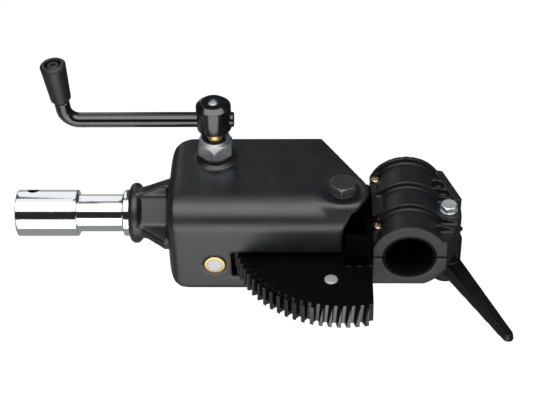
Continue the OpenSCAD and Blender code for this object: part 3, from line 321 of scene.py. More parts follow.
MACHINED = Finish(
    "machined_steel", (0.62, 0.625, 0.64), 0.3, Grain(1800, 1e-5, 0.08, 0.08),
    metallic=1.0, round_mm=0.2, rings=2600.0, ring_axis=1,
)
# The worm's middle, inside the case, is painted near-black as shade.
WORM_STEEL = replace(
    MACHINED, name="worm_steel", slot="machined_steel", color=(0.42, 0.42, 0.435),
    roughness=0.34, case_shade_mm=27.4,
)
RIVET = Finish(
    "rivet_zinc", (0.52, 0.52, 0.5), 0.5, Grain(900, 4e-5, 0.2, 0.15),
    slot="zinc_steel", metallic=0.6, round_mm=0.2,
)
BRASS = Finish(
    "bearing_brass", (0.55, 0.37, 0.16), 0.26, Grain(1600, 1e-5, 0.1, 0.08),
    metallic=1.0, rings=3000.0, round_mm=0.2,
)
NYLON = Finish(
    "nut_nylon", (0.012, 0.022, 0.075), 0.3, Grain(900, 1e-5, 0.1, 0.05), round_mm=0.2
)
WASHER_BLACK = Finish(
    "washer_plastic", (0.013, 0.012, 0.014), 0.36, Grain(1500, 2e-5, 0.12, 0.06),
    specular=0.4, round_mm=0.25,
)
CLAMP_BLACK = Finish(
    "clamp_plastic", (0.009, 0.0089, 0.0102), 0.42, Grain(1700, 4e-5, 0.12, 0.08),
    specular=0.45, wear=0.12, edge_mm=0.4, worn=(0.05, 0.05, 0.053), round_mm=0.4, dust=0.04,
)
LEVER_BLACK = Finish(
    "lever_plastic", (0.003, 0.003, 0.0033), 0.36, Grain(1500, 3e-5, 0.12, 0.08),
    slot="clamp_plastic", specular=0.3, wear=0.1, edge_mm=0.4, worn=(0.05, 0.05, 0.053),
    round_mm=0.3,
)
RUBBER = Finish(
    "liner_rubber", (0.0025, 0.0025, 0.0027), 0.7, Grain(2100, 5e-5, 0.2, 0.1),
    specular=0.1, round_mm=0.2,
)
GRIP_BLACK = Finish(
    "grip_plastic", (0.011, 0.011, 0.0125), 0.44, Grain(1500, 3e-5, 0.12, 0.08),
    wear=0.1, edge_mm=0.4, worn=(0.09, 0.09, 0.095), rings=900.0,
)


class Wires:
    """Adds nodes to one shader tree and wires them up."""

    def __init__(self, tree: Tree) -> None:
        """Keeps the tree."""
        self.tree = tree

    def feed(self, socket: Socket, value: Socket | float | Sequence[float]) -> None:
        """Links a socket to another one, or writes a constant into it.

        Args:
            socket: The socket that is fed.
            value: Another socket or a constant.
        """
        if isinstance(value, Socket):
            self.tree.links.new(value, socket)
        else:
            socket.default_value = value

    def node(self, kind: str, inputs: dict, **settings) -> bpy.types.Node:
        """Adds a node.

        Args:
            kind: Its kind, as Blender names it after ShaderNode.
            inputs: A socket or a constant for each input, by name or number.
            settings: Its own settings.

        Returns:
            The node.
        """
        node = self.tree.nodes.new("ShaderNode" + kind)
        for name, value in settings.items():
            setattr(node, name, value)
        for label, value in inputs.items():
            self.feed(node.inputs[label], value)
        return node

    def math(
        self, operation: str, a: Socket | float, b: Socket | float | None = None,
        clamp: bool = False,
    ) -> Socket:
        """Result of a Math node on one or two numbers, kept between 0 and 1 by clamp."""
        inputs = {0: a} if b is None else {0: a, 1: b}
        return self.node("Math", inputs, operation=operation, use_clamp=clamp).outputs[0]

    def mix(self, factor: Socket, a: Socket | Point3, b: Socket | Point3) -> Socket:
        """Mix of two colours, given as sockets or numbers, by the second one's share."""
        a, b = (c if isinstance(c, Socket) else (*c, 1.0) for c in (a, b))
        return self.node("Mix", {0: factor, 6: a, 7: b}, data_type="RGBA").outputs[2]

    def noise(
        self, place: Socket, scale: Socket | float, detail: float, roughness: float = 0.5
    ) -> Socket:
        """Noise at a place, with cells per metre, finer layers and how strong those are."""
        inputs = {"Vector": place, "Scale": scale, "Detail": detail, "Roughness": roughness}
        return self.node("TexNoise", inputs).outputs["Fac"]

    def use(self, group: Tree, **inputs) -> bpy.types.NodeOutputs:
        """Outputs of a shared group that is fed with the given inputs."""
        return self.node("Group", inputs, node_tree=group).outputs


class ShaderBench:
    """Builds the shared node groups and one material for each finish."""

    def __init__(self) -> None:
        """Makes the shared groups once."""
        self.made: dict[str, bpy.types.Material] = {}
        self._make_grain()
        self._make_edges()
        self._make_rings()
        self._make_dust()
        self._make_sides()
        self._make_case_shade()

    @staticmethod
    def _group(
        name: str, inputs: dict[str, float | None], *outputs: str
    ) -> tuple[Wires, bpy.types.NodeOutputs, bpy.types.NodeInputs]:
        """Starts a shader node group.

        Args:
            name: The group's name.
            inputs: The default of each number input, or None for a vector.
            outputs: Name of each output; all of them are numbers.

        Returns:
            The group's wires, the sockets that it is given, and those that it gives out.
        """
        tree = bpy.data.node_groups.new(name, "ShaderNodeTree")
        for label, value in inputs.items():
            kind = "NodeSocketVector" if value is None else "NodeSocketFloat"
            socket = tree.interface.new_socket(label, in_out="INPUT", socket_type=kind)
            if value is not None:
                socket.default_value = value
        for label in outputs:
            tree.interface.new_socket(label, in_out="OUTPUT", socket_type="NodeSocketFloat")
        given, out = (tree.nodes.new("NodeGroup" + end) for end in ("Input", "Output"))
        return Wires(tree), given.outputs, out.inputs

    def _make_grain(self) -> None:
        """Makes the fine grain with broad blotches."""
        wires, given, out = self._group(
            "fine_grain", {"Vector": None, "Scale": 900.0, "Spread": 0.06},
            "Height", "Roughness", "Blotch",
        )
        fine = wires.noise(given["Vector"], given["Scale"], 3.0)
        coarse = wires.math("MULTIPLY", given["Scale"], 0.055)
        broad = wires.noise(given["Vector"], coarse, 4.0, 0.62)
        centred = wires.math("SUBTRACT", broad, 0.5)
        wires.feed(out["Height"], fine)
        wires.feed(out["Roughness"], wires.math("MULTIPLY", centred, given["Spread"]))
        wires.feed(out["Blotch"], broad)
        self.grain = wires.tree

    def _make_edges(self) -> None:
        """Makes the mask of the edges that handling has rubbed."""
        wires, given, out = self._group(
            "edge_wear", {"Vector": None, "Amount": 0.3, "Rounded": None}, "Mask"
        )
        here = wires.node("NewGeometry", {}).outputs["Normal"]
        dot = wires.node("VectorMath", {0: given["Rounded"], 1: here}, operation="DOT_PRODUCT")
        edge = wires.math("SUBTRACT", 1.0, dot.outputs["Value"])
        rub = wires.math("MULTIPLY", wires.noise(given["Vector"], 160.0, 5.0), 14.0)
        gain = wires.math("MULTIPLY", edge, rub)
        wires.feed(out["Mask"], wires.math("MULTIPLY", gain, given["Amount"], True))
        self.edges = wires.tree

    def _make_rings(self) -> None:
        """Makes the fine lines that a lathe tool leaves."""
        inputs = {"Vector": None, "Pitch": 2500.0}
        wires, given, out = self._group("turning_lines", inputs, "Height")
        along = wires.node("SeparateXYZ", {0: given["Vector"]}).outputs["Z"]
        fine = {"W": along, "Scale": given["Pitch"], "Detail": 2.0}
        line = wires.node("TexNoise", fine, noise_dimensions="1D")
        wires.feed(out["Height"], line.outputs["Fac"])
        self.rings = wires.tree

    def _make_dust(self) -> None:
        """Makes the mask of thin dust that settles in patches."""
        wires, given, out = self._group("settled_dust", {"Vector": None, "Amount": 0.1}, "Mask")
        lifted = wires.math("SUBTRACT", wires.noise(given["Vector"], 70.0, 8.0, 0.7), 0.45)
        spread = wires.math("MULTIPLY", lifted, 3.0, True)
        wires.feed(out["Mask"], wires.math("MULTIPLY", spread, given["Amount"], True))
        self.dust = wires.tree

    def _make_sides(self) -> None:
        """Makes the mask of steep faces, where an oil film shines."""
        wires, given, out = self._group("steep_sides", {"Amount": 0.5}, "Mask")
        here = wires.node("NewGeometry", {}).outputs["Normal"]
        level = wires.math("ABSOLUTE", wires.node("SeparateXYZ", {0: here}).outputs["Z"])
        steep = wires.math("SUBTRACT", 1.0, wires.math("MULTIPLY", level, 1.25), True)
        wires.feed(out["Mask"], wires.math("MULTIPLY", steep, given["Amount"]))
        self.sides = wires.tree

    def _make_case_shade(self) -> None:
        """Makes the mask of the middle of a shaft that lies across the case, where shade is
        painted.
        """
        wires, given, out = self._group("shaded_middle", {"Vector": None, "Reach": 0.03}, "Mask")
        across = wires.node("SeparateXYZ", {0: given["Vector"]}).outputs["Y"]
        inside = wires.math("SUBTRACT", given["Reach"], wires.math("ABSOLUTE", across))
        wires.feed(out["Mask"], wires.math("MULTIPLY", inside, 4000.0, True))
        self.case_shade = wires.tree

    def material(self, finish: Finish) -> bpy.types.Material:
        """Makes, or finds, the material of a finish.

        Args:
            finish: The finish to make.

        Returns:
            The material.
        """
        if finish.name in self.made:
            return self.made[finish.name]
        mat = bpy.data.materials.new(finish.name)
        mat.use_nodes = True
        wires, shader = Wires(mat.node_tree), mat.node_tree.nodes["Principled BSDF"].inputs
        for label, value in (
            ("Metallic", finish.metallic), ("Specular IOR Level", finish.specular),
            ("Coat Weight", finish.coat), ("Coat Roughness", finish.coat_roughness),
            ("Coat IOR", finish.coat_ior), ("Roughness", finish.roughness),
        ):
            shader[label].default_value = value
        here, grain = wires.node("TexCoord", {}).outputs["Object"], finish.grain

        fine = wires.use(
            self.grain, Vector=here, Scale=grain.scale, Spread=grain.rough_spread * 2.0
        )
        low = tuple(c * (1.0 - grain.blotch) for c in finish.color)
        high = tuple(min(1.0, c * (1.0 + grain.blotch)) for c in finish.color)
        color = wires.mix(fine["Blotch"], low, high)
        rough = wires.math("ADD", fine["Roughness"], finish.roughness, True)
        radius = max(finish.round_mm, finish.edge_mm) * MM
        eased = wires.node("Bevel", {"Radius": radius}, samples=4).outputs["Normal"]
        if finish.wear > 0.0:
            rub = wires.use(self.edges, Vector=here, Amount=finish.wear, Rounded=eased)
            color = wires.mix(rub["Mask"], color, finish.worn)
        if finish.dust > 0.0:
            dust = wires.use(self.dust, Vector=here, Amount=finish.dust)["Mask"]
            color = wires.mix(dust, color, DUST)
            rough = wires.math("ADD", rough, wires.math("MULTIPLY", dust, 0.5), True)
        # Painted shade: the middle of a shaft inside the case is darkened to near-black.
        if finish.case_shade_mm > 0.0:
            case_shade = wires.use(self.case_shade, Vector=here, Reach=finish.case_shade_mm * MM)
            color = wires.mix(case_shade["Mask"], color, CASE_SHADE)
        if finish.side_coat > 0.0:
            film = wires.use(self.sides, Amount=finish.side_coat)
            wires.feed(shader["Coat Weight"], film["Mask"])
        height = fine["Height"]
        if finish.rings > 0.0:
            swing = {"Vector": here, "Rotation": RING_TURNS[finish.ring_axis]}
            along = wires.node("Mapping", swing).outputs["Vector"]
            lines = wires.use(self.rings, Vector=along, Pitch=finish.rings)["Height"]
            height = wires.math("ADD", wires.math("MULTIPLY", height, 0.4), lines)
        relief = {"Strength": 1.0, "Distance": grain.relief, "Height": height}
        bump = wires.node("Bump", relief)
        if finish.round_mm > 0.0:
            wires.feed(bump.inputs["Normal"], eased)
        wires.feed(shader["Base Color"], color)
        wires.feed(shader["Roughness"], rough)
        wires.feed(shader["Normal"], bump.outputs["Normal"])
        self.made[finish.name] = mat
        return mat


# ---- workshop ----


class Workshop:
    """The loaded frame and the shaders, shared by every sub-assembly."""

    def __init__(self, frame: dict) -> None:
        """Keeps the frame's nodes and makes the shader bench.

        Args:
            frame: The loaded frame.
        """
        self.nodes: dict[str, bpy.types.Object] = frame["nodes"]
        self.shaders = ShaderBench()

    def mill(self) -> Mill:
        """Starts a new piece."""
        return Mill(self)

    def turn(
        self, name: str, finish: Finish, body: Body, node: str, outline: Sequence[Point2],
        radii: Sequence[float] | float, place: Matrix, steps: int = 72, parts: int = 4,
    ) -> None:
        """Turns one whole piece and hands it over.

        Args:
            name: The piece's name.
            finish: Its finish.
            body: The body that it rides on.
            node: The CAD node that it stands for.
            outline, radii, parts: What rounded() takes.
            place, steps: What Mill.lathe() takes.
        """
        piece = self.mill().lathe(rounded(outline, radii, parts), place, steps)
        piece.publish(name, finish, body, node)

    def dress(self, finish: Finish, *nodes: str) -> None:
        """Gives CAD nodes that stay as they are a finish.

        Args:
            finish: The finish.
            nodes: The nodes' names.
        """
        for name in nodes:
            node = self.nodes[name]
            if not node.material_slots:
                node.data.materials.append(None)
            for slot in node.material_slots:
                slot.material = self.shaders.material(finish)
            LOG.info("%s: CAD node, %s", name, finish.name)


@dataclass(frozen=True)
class Stretch:
    """One stretch of a bent rod: a straight length, or a turn with a radius."""

    length: float = 0.0
    turn: float = 0.0
    radius: float = 0.0


class Mill:
    """One piece in the making: a bmesh in millimetres and the tools that shape it."""

    def __init__(self, shop: Workshop) -> None:
        """Starts with an empty mesh.

        Args:
            shop: The workshop that it is made in.
        """
        self.shop = shop
        self.bm = bmesh.new()
        self.placed: set[bmesh.types.BMVert] = set()

    # -- working steps --

    def ring(self, radius: float, steps: int) -> Ring:
        """Adds an open circle of that many points, flat on Z = 0."""
        made = bmesh.ops.create_circle(self.bm, cap_ends=False, radius=radius, segments=steps)
        return list(made["verts"])

    @staticmethod
    def edges_of(verts: Ring) -> list[bmesh.types.BMEdge]:
        """Edges that join the vertices of one ring."""
        keep = set(verts)
        return list({e for v in verts for e in v.link_edges if keep.issuperset(e.verts)})

    def rise(self, verts: Ring, move: Vector, scale: float = 1.0) -> Ring:
        """Extrudes a ring, moves the new ring and scales it about its own middle.

        Args:
            verts: The vertices of the last ring.
            move: How far the new ring is moved.
            scale: How much it is scaled.

        Returns:
            The new ring's vertices.
        """
        made = bmesh.ops.extrude_edge_only(self.bm, edges=self.edges_of(verts))["geom"]
        new = [g for g in made if isinstance(g, bmesh.types.BMVert)]
        bmesh.ops.translate(self.bm, verts=new, vec=move)
        if scale != 1.0:
            middle = sum((v.co for v in new), Vector()) / len(new)
            space = Matrix.Translation(-middle)
            bmesh.ops.scale(self.bm, verts=new, vec=(scale,) * 3, space=space)
        return new

    def lids(self, *rings: Ring) -> None:
        """Closes open rings with triangles round their middles.

        Args:
            rings: The vertices of each ring.
        """
        for verts in rings:
            edges = [e for e in self.edges_of(verts) if len(e.link_faces) < 2]
            filled = bmesh.ops.edgeloop_fill(self.bm, edges=edges)["faces"]
            bmesh.ops.poke(self.bm, faces=filled)

    def settle(self, place: Matrix) -> Mill:
        """Moves what was made since the last call to its place.

        Args:
            place: Where it goes.

        Returns:
            This piece.
        """
        fresh = [v for v in self.bm.verts if v not in self.placed]
        bmesh.ops.transform(self.bm, matrix=place, verts=fresh)
        self.placed.update(fresh)
        return self

    def merge(self, verts: Ring, reach: float) -> None:
        """Makes points that are closer than the reach into one."""
        bmesh.ops.remove_doubles(self.bm, verts=verts, dist=reach)

    # -- shapes --

    def lathe(self, profile: Sequence[Point2], place: Matrix, steps: int = 72) -> Mill:
        """Turns a profile about its axis.

        Args:
            profile: Radius and height of each point, in order.
            place: Where local Z, the axis, goes.
            steps: How many steps a full turn has.

        Returns:
            This piece.
        """
        chain = [self.bm.verts.new((radius, 0.0, height)) for radius, height in profile]
        edges = [self.bm.edges.new(pair) for pair in zip(chain, chain[1:])]
        bmesh.ops.spin(
            self.bm, geom=chain + edges, cent=(0, 0, 0), axis=(0, 0, 1), angle=math.tau,
            steps=steps, use_merge=True,
        )
        self.merge([v for v in self.bm.verts if v not in self.placed], MERGE_MM)
        return self.settle(place)

    def hexagon(
        self, flats: float, low: float, high: float, under: float, over: float,
        place: Matrix, fall: float = 30.0,
    ) -> Mill:
        """Makes a hexagon whose corners are turned down to arcs at both ends.

        Args:
            flats: Width across flats.
            low, high: Heights of the lower and the upper face.
            under, over: Radii of the turned lower and upper face.
            place: Where local Z, the axis, goes.
            fall: The slope of the turned upper face at the corners, in degrees.

        Returns:
            This piece.
        """
        slope, fallen = math.tan(math.radians(30)), math.tan(math.radians(fall))
        least = 0.02  # height of the turned edge where a side is nearest to the axis

        def reach(turn: float) -> float:
            """Distance from the axis to the hexagon's side in one direction."""
            return flats / 2 / math.cos(turn % (math.pi / 3) - math.pi / 6)

        rules: list[Callable[[float], Point2]] = [
            lambda turn: (under, low),
            lambda turn: (reach(turn), low + max(least, (reach(turn) - under) * slope)),
            lambda turn: (reach(turn), high - max(least, (reach(turn) - over) * fallen)),
            lambda turn: (over, high),
        ]
        first = ring = self.ring(flats / 2, 96)
        for index, rule in enumerate(rules):
            if index:
                ring = self.rise(ring, Vector((0, 0, 1)))
            for v in ring:
                turn = math.atan2(v.co.y, v.co.x)
                radius, height = rule(turn)
                v.co = (radius * math.cos(turn), radius * math.sin(turn), height)
        self.lids(first, ring)
        return self.settle(place)

    def rod(self, radius: float, path: Sequence[Stretch], place: Matrix) -> Mill:
        """Sweeps a round rod through straight stretches and bends.

        Args:
            radius: The rod's radius.
            path: The stretches, in order.
            place: Where it starts; it sets out along local Z and bends towards local X.

        Returns:
            This piece.
        """
        edge, steps, bend_parts, straight_part = 0.5, 40, 20, 4
        at, ahead, side = Vector((0, 0, edge)), Vector((0, 0, 1)), Vector((1, 0, 0))
        first = self.ring(radius - edge, steps)
        ring = self.rise(first, at, radius / (radius - edge))
        for stretch in path:
            if stretch.turn:
                centre = at + side * stretch.radius
                angle = math.radians(stretch.turn) / bend_parts
                turn = Matrix.Rotation(angle, 3, ahead.cross(side))
                for _ in range(bend_parts):
                    ring = self.rise(ring, Vector())
                    bmesh.ops.rotate(self.bm, verts=ring, cent=centre, matrix=turn)
                    at, ahead, side = centre + turn @ (at - centre), turn @ ahead, turn @ side
            else:
                parts = max(1, round(stretch.length / straight_part))
                for _ in range(parts):
                    ring = self.rise(ring, ahead * (stretch.length / parts))
                at = at + ahead * stretch.length
        ring = self.rise(ring, ahead * edge, (radius - edge) / radius)
        self.lids(first, ring)
        return self.settle(place)

    def bar(self, size: Point3, place: Matrix) -> Mill:
        """Makes a bar that stands on its base.

        Args:
            size: Its length, width and height.
            place: Where the middle of its base goes.

        Returns:
            This piece.
        """
        made = bmesh.ops.create_cube(self.bm, size=1.0)["verts"]
        bmesh.ops.translate(self.bm, verts=made, vec=(0, 0, 0.5))
        bmesh.ops.scale(self.bm, verts=made, vec=size)
        return self.settle(place)

    def hull(self, rings: Sequence[tuple[Point3, Point2]], place: Matrix) -> Mill:
        """Wraps level ellipses in one convex skin.

        Args:
            rings: The middle and the two half widths of each ellipse.
            place: Where the shape goes.

        Returns:
            This piece.
        """
        fresh: list[bmesh.types.BMVert] = []
        for middle, halves in rings:
            verts = self.ring(1.0, 32)
            bmesh.ops.scale(self.bm, verts=verts, vec=(*halves, 1.0))
            bmesh.ops.translate(self.bm, verts=verts, vec=middle)
            fresh += verts
        loose = list({e for v in fresh for e in v.link_edges})
        bmesh.ops.delete(self.bm, geom=loose, context="EDGES_FACES")
        made = bmesh.ops.convex_hull(self.bm, input=fresh, use_existing_faces=False)
        left = made["geom_interior"] + made["geom_unused"]
        spare = {g for g in left if isinstance(g, bmesh.types.BMVert)}
        bmesh.ops.delete(self.bm, geom=list(spare), context="VERTS")
        return self.settle(place)

    def trim(self, spot: Point3, away: Point3) -> Mill:
        """Cuts off what lies beyond a plane and closes the cut.

        Args:
            spot: A point of the plane.
            away: The plane's normal, towards what is cut off.

        Returns:
            This piece.
        """
        geom = [*self.bm.verts, *self.bm.edges, *self.bm.faces]
        made = bmesh.ops.bisect_plane(
            self.bm, geom=geom, dist=0.0001, plane_co=spot, plane_no=away, clear_outer=True
        )
        rim = [g for g in made["geom_cut"] if isinstance(g, bmesh.types.BMEdge)]
        bmesh.ops.holes_fill(self.bm, edges=rim, sides=0)
        return self

    def copy_of(self, node: str) -> Mill:
        """Takes a merged copy of a CAD node.

        Args:
            node: The node's name.

        Returns:
            This piece.
        """
        self.bm.from_mesh(self.shop.nodes[node].data)
        bmesh.ops.scale(self.bm, verts=self.bm.verts, vec=(1 / MM,) * 3)
        self.merge(self.bm.verts, CAD_MERGE_MM)
        return self.settle(Matrix.Identity(4))

    # -- finishing --

    def bevel(self, edges: list[bmesh.types.BMEdge], width: float, segments: int) -> None:
        """Bevels edges.

        Args:
            edges: The edges.
            width: The bevel's width.
            segments: How many segments it has.
        """
        bmesh.ops.bevel(
            self.bm, geom=edges, offset=width, offset_type="OFFSET", affect="EDGES",
            segments=segments, profile=0.5, material=-1, clamp_overlap=True,
        )

    def flatten(self) -> Mill:
        """Joins the flat triangles of a CAD copy into whole faces.

        Returns:
            This piece.
        """
        limit = math.radians(0.6)
        bmesh.ops.dissolve_limit(
            self.bm, angle_limit=limit, verts=self.bm.verts, edges=self.bm.edges
        )
        return self

    def soften(self, width: float, angle: float) -> Mill:
        """Bevels every edge that is sharper than an angle.

        Args:
            width: The bevel's width.
            angle: The least angle between two faces that counts, in degrees.

        Returns:
            This piece.
        """
        bmesh.ops.recalc_face_normals(self.bm, faces=self.bm.faces)
        limit = math.radians(angle)
        pairs = [e for e in self.bm.edges if len(e.link_faces) == 2]
        self.bevel([e for e in pairs if e.calc_face_angle(0.0) > limit], width, 1)
        return self

    def calm(self, rounds: int) -> Mill:
        """Relaxes the surface, which rounds its edges.

        Args:
            rounds: How often it is relaxed.

        Returns:
            This piece.
        """
        for _ in range(rounds):
            bmesh.ops.smooth_vert(
                self.bm, verts=self.bm.verts, factor=0.5,
                use_axis_x=True, use_axis_y=True, use_axis_z=True,
            )
        return self

    def take(self, thing: bpy.types.Object) -> None:
        """Takes a mesh as its modifiers leave it, in place of its own.

        Args:
            thing: The object with the mesh.
        """
        seen = thing.evaluated_get(bpy.context.evaluated_depsgraph_get())
        self.bm.clear()
        self.bm.from_mesh(seen.to_mesh())
        seen.to_mesh_clear()

    def recast(self, voxel: float) -> Mill:
        """Rebuilds the surface on an even grid.

        Args:
            voxel: The grid's step.

        Returns:
            This piece.
        """
        lump = mesh_object("recast", self.bm)
        grid = lump.modifiers.new("grid", "REMESH")
        grid.mode, grid.voxel_size = "VOXEL", voxel
        self.take(lump)
        scrap(lump)
        self.placed = set(self.bm.verts)
        return self

    def carve(self, tool: Mill) -> Mill:
        """Cuts another shape out of this one.

        Args:
            tool: The shape to cut with; it is used up.

        Returns:
            This piece.
        """
        for mill in (self, tool):
            bmesh.ops.recalc_face_normals(mill.bm, faces=mill.bm.faces)
        lump, cutter = (mesh_object("carve", mill.bm) for mill in (self, tool))
        cut = lump.modifiers.new("cut", "BOOLEAN")
        cut.operation, cut.solver, cut.object = "DIFFERENCE", "EXACT", cutter
        self.take(lump)
        tool.bm.free()
        scrap(lump, cutter)
        self.merge(self.bm.verts, MERGE_MM)
        self.placed = set(self.bm.verts)
        return self

    def publish(
        self, name: str, finish: Finish, body: Body, *nodes: str, sharp: float = 32.0
    ) -> None:
        """Turns the mesh to metres and hands it over as a finished piece.

        Args:
            name: The piece's name.
            finish: Its finish.
            body: The body that it rides on.
            nodes: The CAD nodes that it stands for.
            sharp: The angle between faces from which an edge stays sharp, in degrees.
        """
        bmesh.ops.recalc_face_normals(self.bm, faces=self.bm.faces)
        bmesh.ops.scale(self.bm, verts=self.bm.verts, vec=(MM,) * 3)
        piece = mesh_object(name, self.bm)
        self.bm.free()
        mesh = piece.data
        mesh.shade_smooth()
        mesh.set_sharp_from_angle(angle=math.radians(sharp))
        mesh.materials.append(self.shop.shaders.material(finish))
        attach(piece, body.value)
        if nodes:
            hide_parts(*nodes)
        LOG.info("%s: %d faces, %s, on %s", name, len(mesh.polygons), finish.name, body.value)


# ---- sub-assemblies ----

CRANK_AT = (101.69, 15.0)  # X and Y of the crank's shaft
PIVOT_AT = (177.0, -15.0)  # X and Y of the tilt pivot
CLAMP_BOLT_AT = (239.6, -8.5)  # X and Y of the bolt that the lever turns on


@dataclass
class Assembly:
    """A sub-assembly and the workshop that makes it, with the workshop's tools at hand."""

    shop: Workshop

    def __post_init__(self) -> None:
        """Takes the tools."""
        self.mill, self.turn, self.dress = self.shop.mill, self.shop.turn, self.shop.dress


@dataclass
class Housing(Assembly):
    """Cast gear case with its ribbed nose, bottom plate and inner fastenings."""

    grid: float = 0.9
    rounds: int = 3
    rounds_mm: Point3 = (6.0, 18.0, 15.5)
    wall: float = 2.4
    left_x: float = 73.5
    front_y: float = -35.4
    top_z: float = 30.2
    boss_r: float = 12.5
    boss_fade: float = 9.0

    def ease(self, case: Mill) -> None:
        """Draws the front, top and left edges in to wide rounds, except by the pivot's boss.

        Args:
            case: The case, whose vertices are moved inwards.
        """
        case.bm.normal_update()
        half = Vector(self.rounds_mm)
        core = Vector((self.left_x + half.x, self.front_y + half.y, self.top_z - half.z))
        for v in case.bm.verts:
            off = Vector((
                min(v.co.x - core.x, 0.0), min(v.co.y - core.y, 0.0), max(v.co.z - core.z, 0.0)
            ))
            skin = self.wall if v.normal.dot(off) < 0 else 0.0
            reach = math.hypot(*(o / (h - skin) for o, h in zip(off, half)))
            nose = v.co.x < self.left_x - 0.2
            if reach <= 1 or nose or v.co.z > self.top_z + 0.3:
                continue
            away = math.dist(v.co.xy, PIVOT_AT) - self.boss_r
            share = max(0.0, min(1.0, away / self.boss_fade))
            v.co += off * (share * share * (3 - 2 * share) * (1 / reach - 1))

    def build(self) -> None:
        """Casts the case with soft edges and dresses what it holds."""
        case = self.mill().copy_of("housing").recast(self.grid)
        self.ease(case)
        case.calm(self.rounds).publish("gear_case", PAINT, Body.HEAD, "housing", sharp=80)
        self.dress(BLACK_STEEL, "base_screws", "spigot_bolt")
        self.dress(PAINT, "base_plate")
        self.dress(ZINC, "spigot_washer")


@dataclass
class Spigot(Assembly):
    """Plated stand spigot, turned from one bar."""

    thick_r: float = 14.0
    thick_x: float = 18.4
    neck_r: float = 11.25
    collar_x: float = 45.4
    collar_step: float = 0.6
    end_x: float = 49.6
    shank_r: float = 10.0
    tail_x: float = 70.5
    bolt_r: float = 5.0
    bolt_x: float = 51.0
    edge: float = 0.5
    hole_r: float = 3.5
    hole_x: float = -8.9
    hole_turn: float = 24.0

    def outline(self) -> list[Point2]:
        """Outline of the turned bar.

        Returns:
            Radius and station of each point.
        """
        r, x, c, tail = self.thick_r, self.thick_x, self.edge, self.tail_x
        step = self.collar_x + self.collar_step
        bar = [(r - c, -x), *even(r, c - x, x - c, 18), (r - c, x)]
        neck = even(self.neck_r, x, self.collar_x, 8)
        collar = [(r - c, step), (r, step + c), (r, self.end_x)]
        shank = [
            (self.shank_r, self.end_x), (self.shank_r, tail - 1), (self.shank_r - 1, tail),
            (self.bolt_r, tail), (self.bolt_r, self.bolt_x), (0, self.bolt_x),
        ]
        return rounded([(0, -x), *bar, *neck, *collar, *shank], 0.45, 3)

    def build(self) -> None:
        """Turns the bar and drills the safety hole."""
        bar = self.mill().lathe(self.outline(), Laid.X.matrix(), 128)
        place = moved(self.hole_x, 0, 0) @ turned("X", -self.hole_turn)
        bar.carve(self.mill().lathe(plug(self.hole_r, -20, 20), place, 64))
        bar.publish("spigot_bar", CHROME, Body.HEAD, "spigot")


@dataclass
class CrankBearing(Assembly):
    """Brass bush of the crank with its washer, lock nut and nylon ring."""

    at: Point2 = CRANK_AT
    seat_z: float = 32.4
    washer_r: float = 10.3
    washer_t: float = 3.1
    nut_flats: float = 19.5
    nut_h: float = 10.9
    nut_slope: float = 56.0
    crown_h: float = 2.4
    crown_wall: float = 1.2
    ring_h: float = 3.2
    thread_r: float = 6.0
    bush_r: float = 5.4
    bush_low: float = 4.5
    bush_top: float = 52.9
    flange_r: float = 9.8
    flange: Point2 = (22.4, 25.4)
    bore_r: float = 3.55

    def build(self) -> None:
        """Makes the stack from the seat upwards."""
        at, turn = moved(*self.at, 0), self.turn
        low = self.seat_z + self.washer_t
        top = low + self.nut_h
        shoulder, seat = top - self.crown_h, top - self.ring_h
        half, thread, bush, bore = self.nut_flats / 2, self.thread_r, self.bush_r, self.bore_r
        outer = half - 0.8
        inner = outer - self.crown_wall
        hole = bush + 0.1
        washer = band(thread + 0.1, self.washer_r, self.seat_z, low)
        turn("crank_seat_washer", WASHER_BLACK, Body.HEAD, "crank_washer",
             washer, [0.5, 0.7, 0.2], at)
        nut = self.mill().hexagon(
            self.nut_flats, low, shoulder + 0.5, half - 0.1, outer + 0.1,
            at @ turned("Z", 30), self.nut_slope,
        )
        crown = [(inner, seat), (inner, top - 0.1), (inner + 0.35, top), (outer, top),
                 (outer, shoulder), (inner, seat)]
        nut.lathe(rounded(crown, [0.1, 0.1, 1.0, 0.1]), at, 96)
        nut.publish("crank_lock_nut", ZINC, Body.HEAD, "crank_nut", sharp=26)
        nylon = [(hole, seat), (inner, seat), (inner, top - 0.5), (hole, top - 1), (hole, seat)]
        turn("lock_nut_ring", NYLON, Body.HEAD, "crank_nut_ring", nylon, [0.1, 0.5, 0.9], at)
        under, over = self.flange
        body = [
            (bore, self.bush_low), (thread, self.bush_low), (thread, under),
            (self.flange_r, under), (self.flange_r, over), (thread, over), (thread, seat - 0.1),
            (bush, seat - 0.1), (bush, self.bush_top), (bore, self.bush_top),
            (bore, self.bush_low),
        ]
        turn("crank_bearing_bush", BRASS, Body.HEAD, "crank_bush", body,
             [0.4, 0.1, 0.4, 0.4, 0.1, 0.3, 0.2, 0.4, 0.2], at, parts=3)


